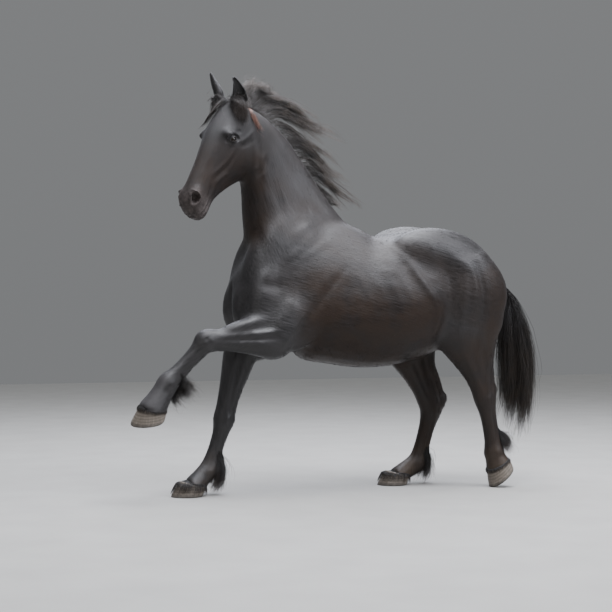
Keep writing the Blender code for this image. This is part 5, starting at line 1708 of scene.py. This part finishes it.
def tufts(rng, roots, out):
    """Short curved tufts that lie along the coat, longest at the belly and the backs of the legs."""
    head = in_head(roots)
    weights = lie_weights(roots)
    way = sum(weights[k][:, None] * np.array(lie) for k, lie in HAIR_LIES.items())
    ears = smooth(-0.02, 0.01, head[:, 2]) * (head[:, 0] < 0.06) * (np.abs(head[:, 1]) > 0.03)
    way += 2.0 * ears[:, None] * HEAD_TURN[:, 2]
    way += rng.normal(size=way.shape) * 0.10
    way -= (way * out).sum(1)[:, None] * out
    way = unit(way)
    long = 0.015 * np.ones(len(roots))
    long += 0.006 * smooth(0.90, 0.75, roots[:, 2]) * smooth(0.1, 0.6, out[:, 0])
    long += 0.006 * smooth(-0.2, -0.7, out[:, 2]) * smooth(1.1, 0.9, roots[:, 2])
    long *= 1 - 0.55 * weights["face"] - 0.35 * smooth(0.2, 0.05, roots[:, 2]) * (out[:, 0] < 0)
    long *= rng.uniform(0.7, 1.15, len(roots)) * (1 - 0.3 * ears)
    rise = rng.uniform(0.10, 0.26, len(roots))
    t = np.linspace(0, 1, TUFT_POINTS)[None, :, None]
    start = roots - out * 0.0012
    lift = (rise * long)[:, None, None] * (1.6 * t - 0.6 * t * t)
    return start[:, None] + way[:, None] * long[:, None, None] * t + out[:, None] * lift


class HORSE_OT_coat(bpy.types.Operator):
    """Grows tufts of the short coat, thickest where it breaks the outline and thin elsewhere."""

    bl_idname = "horse.coat"
    bl_label = "Coat"

    def execute(self, context):
        settings = context.scene.horse_coat
        mesh = bpy.data.objects["skin"].data
        _, _, points = skin_surface()
        outs = get_points(mesh, "normal")
        mesh.calc_loop_triangles()
        corners = read(mesh.loop_triangles, "vertices", 3)
        owners = read(mesh.loop_triangles, "polygon_index")
        a, b, c = (points[corners[:, k]] for k in range(3))
        area = np.linalg.norm(np.cross(b - a, c - a), axis=1) / 2
        middles, facing = (a + b + c) / 3, outs[corners].mean(1)
        weight = area * density(middles, facing)
        for part, name in enumerate(("coat_tufts_a", "coat_tufts_b")):
            rng = np.random.default_rng(61 + part)
            pick = rng.choice(len(owners), size=settings.tufts, p=weight / weight.sum())
            mix = rng.dirichlet((1, 1, 1), settings.tufts)[:, :, None]
            roots = (points[corners[pick]] * mix).sum(1)
            out = unit((outs[corners[pick]] * mix).sum(1))
            lines = tufts(rng, roots, out)
            length = np.linalg.norm(lines[:, -1] - lines[:, 0], axis=1)
            thick = rng.uniform(0.5, 1.0, len(lines)) * length * 0.05
            hair_piece(name, rng, lines, owners[pick], thick, mesh.materials[0], coat_values(roots), "coat")
        return {"FINISHED"}


# Stretches of the mane's guides where its locks part, as (from, to, share of the locks).
MANE_TONGUES = (
    (0, 0.8, 0.14),
    (1.1, 2.6, 0.34),
    (3, 3.4, 0.1),
    (3.8, 4.3, 0.13),
    (4.8, 5.3, 0.1),
    (5.7, 6.2, 0.1),
    (6.8, 8, 0.09),
)


class HORSE_OT_mane(bpy.types.Operator):
    """Grows the mane: locks that stream back, and those that hang on the right side of the neck."""

    bl_idname = "horse.mane"
    bl_label = "Mane"

    def execute(self, context):
        settings = context.scene.horse_hair
        material = hair_material("wavy_mane_hair", "070606", "45403d", "5d5249", "7c4c38")
        plans = (
            ("mane_stream", 11, MANE_STREAM, 90, 0.30, 0.016, 0.009, 0.020, 0.0060, 0.50, MANE_TONGUES),
            ("mane_fall", 12, MANE_FALL, 64, 0.30, 0.018, 0.012, 0.020, 0.0035, 0.65, None),
        )
        for name, seed, guides, *habit in plans:
            rng = np.random.default_rng(seed)
            lines, tone = grow(rng, guides, settings.mane_strands, STRAND_POINTS, *habit)
            faces = clear_of(lines, 0.004, 0.006, 10)
            warm = np.zeros(len(lines))
            if name == "mane_stream":
                curls, curls_tone = grow(
                    rng, POLL_CURLS, 520, STRAND_POINTS, 30, 0.30, 0.020, 0.010, 0.030, 0.012, 0.50
                )
                faces = np.concatenate([faces, clear_of(curls, 0.004, 0.004, 5)])
                rust, rust_tone = grow(
                    rng, RUST_LOCK, 60, STRAND_POINTS, 7, 0.4, 0.006, 0.005, 0.006, 0.0030, 0.70
                )
                faces = np.concatenate([faces, clear_of(rust, 0.003, 0.004, 13, 0.011)])
                lines = np.concatenate([lines, curls, rust])
                tone = np.concatenate([tone, curls_tone * 0.6 + 0.4, rust_tone])
                warm = np.concatenate([warm, np.zeros(len(curls)), rng.uniform(0.10, 0.85, len(rust))])
            thick = settings.thickness * rng.uniform(0.55, 1.30, len(lines))
            stands_for = ("mane",) if name == "mane_stream" else ()
            rows = {"tone": tone, "warm": warm}
            hair_piece(name, rng, lines, faces, thick, material, rows, "hair", *stands_for)
        return {"FINISHED"}


class HORSE_OT_forelock(bpy.types.Operator):
    """Grows the forelock, swept to both sides of the brow."""

    bl_idname = "horse.forelock"
    bl_label = "Forelock"

    def execute(self, context):
        rng = np.random.default_rng(21)
        guides = [[HEAD_PLACE @ Vector(p) for p in guide] for guide in FORELOCK]
        sides = [
            grow(rng, pair, 860, STRAND_POINTS, 18, 0.45, 0.013, 0.015, 0.010, 0.003, 0.78)
            for pair in (guides[:2], guides[2:])
        ]
        lines, tone = (np.concatenate(parts) for parts in zip(*sides))
        faces = clear_of(lines, 0.004, 0.004, STRAND_POINTS, 0.026)
        material = hair_material("fine_forelock_hair", "040404", "35302e", "3a302a")
        thick = context.scene.horse_hair.thickness * 0.8 * rng.uniform(0.6, 1.2, len(lines))
        rows = {"tone": tone, "warm": np.zeros(len(lines))}
        hair_piece("forelock_locks", rng, lines, faces, thick, material, rows, "hair", "forelock")
        return {"FINISHED"}


class HORSE_OT_tail(bpy.types.Operator):
    """Grows the tail, from the dock to its uneven tips."""

    bl_idname = "horse.tail"
    bl_label = "Tail"

    def execute(self, context):
        settings = context.scene.horse_hair
        material = hair_material("coarse_tail_hair", "050404", "221f1e", "33291f")
        plans = (("tail_left", 31, TAIL_GUIDES, ("tail",)), ("tail_right", 32, TAIL_GUIDES[::-1], ()))
        for name, seed, guides, stands_for in plans:
            rng = np.random.default_rng(seed)
            lines, tone = grow(
                rng, guides, settings.tail_strands, STRAND_POINTS, 60, 0.35, 0.014, 0.015, 0.024, 0.005, 0.72
            )
            faces = clear_of(lines, 0.004, 0.004, 6)
            thick = settings.thickness * rng.uniform(0.6, 1.35, len(lines))
            rows = {"tone": tone, "warm": np.zeros(len(lines))}
            hair_piece(name, rng, lines, faces, thick, material, rows, "hair", *stands_for)
        return {"FINISHED"}


def fringe(rng, leg, share):
    """Strands from all round the coronet, down over the horn by a share of its height."""
    turn = rng.random(FRINGE_STRANDS) * 2 * math.pi
    c, s = np.cos(turn), np.sin(turn)
    top = coronet_line(c, s)
    low = np.stack([HOOF_HALF_LENGTH * c, HOOF_HALF_WIDTH * s, 0 * c], 1)
    out = np.stack([c, s, 0 * c], 1)
    sway = rng.normal(size=FRINGE_STRANDS) * 0.007
    side = np.stack([-s, c, 0 * c], 1) * sway[:, None]
    root = top * (0.96, 0.96, 1.0) + (CORONET_SET_BACK * 0.04, 0, 0.020)
    tip = top + (low - top) * (share * rng.uniform(0.5, 1.1, FRINGE_STRANDS))[:, None] + side
    tip += out * (0.002 + 0.010 * share)
    t = np.linspace(0, 1, FOOT_POINTS)[None, :, None]
    lines = root[:, None] + (tip - root)[:, None] * t
    lines += out[:, None] * (0.002 + 0.006 * share) * np.sin(math.pi * t)
    return from_foot(lines, leg), rng.random(FRINGE_STRANDS)


class HORSE_OT_feathers(bpy.types.Operator):
    """Grows the feathers: long hair behind each fetlock and a fringe over the horn."""

    bl_idname = "horse.feathers"
    bl_label = "Feathers"

    def execute(self, context):
        settings = context.scene.horse_hair
        material = hair_material("dusty_feather_hair", "080707", "211d1b", "3d3129")
        for seed, (name, guides) in enumerate(FEATHERS.items(), 41):
            rng = np.random.default_rng(seed)
            root = leg_joints(LEGS[name])["fetlock"]
            guides = [[root + Vector(p) for p in guide] for guide in guides]
            count = settings.feather_strands
            lines, tone = grow(rng, guides, count, FOOT_POINTS, 60, 0.6, 0.011, 0.014, 0.006, 0.003, 0.65)
            lines[:, :, 2] = np.maximum(lines[:, :, 2], 0.004)
            faces = clear_of(lines, 0.004, 0.003, 7)
            edge, edge_tone = fringe(rng, LEGS[name], FRINGE_SHARES[name])
            faces = np.concatenate([faces, clear_of(edge, 0.004, 0.0, 1)])
            lines = np.concatenate([lines, edge])
            lines[:, 1:, 2] = np.maximum(lines[:, 1:, 2], 0.003)
            thick = settings.thickness * 0.75 * rng.uniform(0.6, 1.3, len(lines))
            rows = {"tone": np.concatenate([tone, edge_tone]), "warm": np.zeros(len(lines))}
            names = "feather_locks_" + name, "feather_" + name
            hair_piece(names[0], rng, lines, faces, thick, material, rows, "hair", names[1])
        return {"FINISHED"}


FRINGE_STRANDS, FOOT_POINTS = 640, 9
# How far down the horn the fringe of each foot hangs, as a share of the horn's height.
FRINGE_SHARES = {"fore_left": 0.14, "fore_right": 0.80, "hind_left": 0.16, "hind_right": 0.75}


def aimed(spot, ahead):
    """A level place for a lamp or a camera at a spot, looking ahead."""
    ahead = ahead.normalized()
    right = ahead.cross(Vector((0, 0, 1))).normalized()
    return Matrix.Translation(spot) @ Matrix((right, right.cross(ahead), -ahead)).transposed().to_4x4()


class HORSE_OT_stage(bpy.types.Operator):
    """Sets a pale floor, soft lights and the camera."""

    bl_idname = "horse.stage"
    bl_label = "Stage"

    def execute(self, context):
        scene = context.scene
        floor = piece_from(
            "floor",
            np.array([(-14.0, -14.0, 0.0), (14.0, -14.0, 0.0), (14.0, 14.0, 0.0), (-14.0, 14.0, 0.0)]),
            [np.array([[0, 1, 2, 3]])],
        )
        made, node, shade = new_material("matt_painted_floor")
        position = node("TexCoord", out="Object")
        grain = node("TexNoise", {"Vector": position, "Scale": 3.0, "Detail": 4.0})
        colour = node("ValToRGB", (grain,), ((0.3, linear("93928f")), (0.7, linear("9a9996"))))
        shade({"Base Color": colour, "Roughness": 0.8})
        floor.data.materials.append(made)
        world = bpy.data.worlds.new("studio")
        scene.world = world
        world.use_nodes = True
        node = partial(add_node, world.node_tree)
        way = node("TexCoord", out="Generated")
        height = node("SeparateXYZ", (way,), out="Z")
        dome = node("ValToRGB", (height,), SKY_STOPS)
        glow = world.node_tree.nodes["Background"]
        wire(world.node_tree, glow, {"Color": dome, "Strength": 1.0})
        for name, spot, power, size, tint in LIGHTS:
            lamp = bpy.data.lights.new(name, "AREA")
            lamp.energy = power
            lamp.size = size
            lamp.color = linear(tint)[:3]
            holder = bpy.data.objects.new(name, lamp)
            scene.collection.objects.link(holder)
            holder.matrix_world = aimed(Vector(spot), Vector(LIT_POINT) - Vector(spot))
        lens = bpy.data.cameras.new("camera")
        camera = bpy.data.objects.new("camera", lens)
        scene.collection.objects.link(camera)
        lens.sensor_width = 36.0
        lens.lens = CAMERA_LENS
        lens.clip_end = 100.0
        camera.matrix_world = aimed(Vector(CAMERA_PLACE) + SHIFT, Vector(CAMERA_AHEAD))
        scene.camera = camera
        return {"FINISHED"}


# The dome of light, from the floor's level to the zenith.
SKY_STOPS = ((0.0, (0.20, 0.205, 0.21, 1)), (0.35, (0.22, 0.225, 0.23, 1)), (0.95, (0.85, 0.87, 0.90, 1)))
LIGHTS = (
    ("sky_key", (0.2, -1.6, 6.6), 1150, 5, "f6f8ff"),
    ("quarter", (4.6, -4.2, 4.6), 330, 2.6, "f4f6ff"),
    ("sky_back", (0.8, 2.8, 6.2), 620, 5, "eef2ff"),
    ("side_fill", (-5, -6.5, 3.6), 50, 4, "fbf8f2"),
)
# What the lamps are turned to, and the camera's place, way and lens.
LIT_POINT = (0, 0, 1.2)
CAMERA_PLACE = (-3.2368, -7.3205, 1.0)
CAMERA_AHEAD = (0.37459, 0.92713, 0.01029)
CAMERA_LENS = 80.0


class HORSE_PT_panel(bpy.types.Panel):
    """Lists the steps that build the horse."""

    bl_label = "Friesian Horse"
    bl_idname = "HORSE_PT_panel"
    bl_space_type = "VIEW_3D"
    bl_region_type = "UI"
    bl_category = "Horse"

    def draw(self, context):
        layout = self.layout
        for group in (context.scene.horse_coat, context.scene.horse_hair):
            for key in group.__annotations__:
                layout.prop(group, key)
        for step in STEPS:
            layout.operator(step.bl_idname)


STEPS = (
    HORSE_OT_skin,
    HORSE_OT_eyes,
    HORSE_OT_hooves,
    HORSE_OT_coat,
    HORSE_OT_mane,
    HORSE_OT_forelock,
    HORSE_OT_tail,
    HORSE_OT_feathers,
    HORSE_OT_stage,
)
CLASSES = (HorseCoatSettings, HorseHairSettings, *STEPS, HORSE_PT_panel)


def register():
    for kind in CLASSES:
        bpy.utils.register_class(kind)
    bpy.types.Scene.horse_coat = bpy.props.PointerProperty(type=HorseCoatSettings)
    bpy.types.Scene.horse_hair = bpy.props.PointerProperty(type=HorseHairSettings)


def unregister():
    del bpy.types.Scene.horse_coat
    del bpy.types.Scene.horse_hair
    for kind in reversed(CLASSES):
        bpy.utils.unregister_class(kind)


def main():
    register()
    for step in STEPS:
        group, name = step.bl_idname.split(".")
        getattr(getattr(bpy.ops, group), name)()


if __name__ == "__main__":
    main()
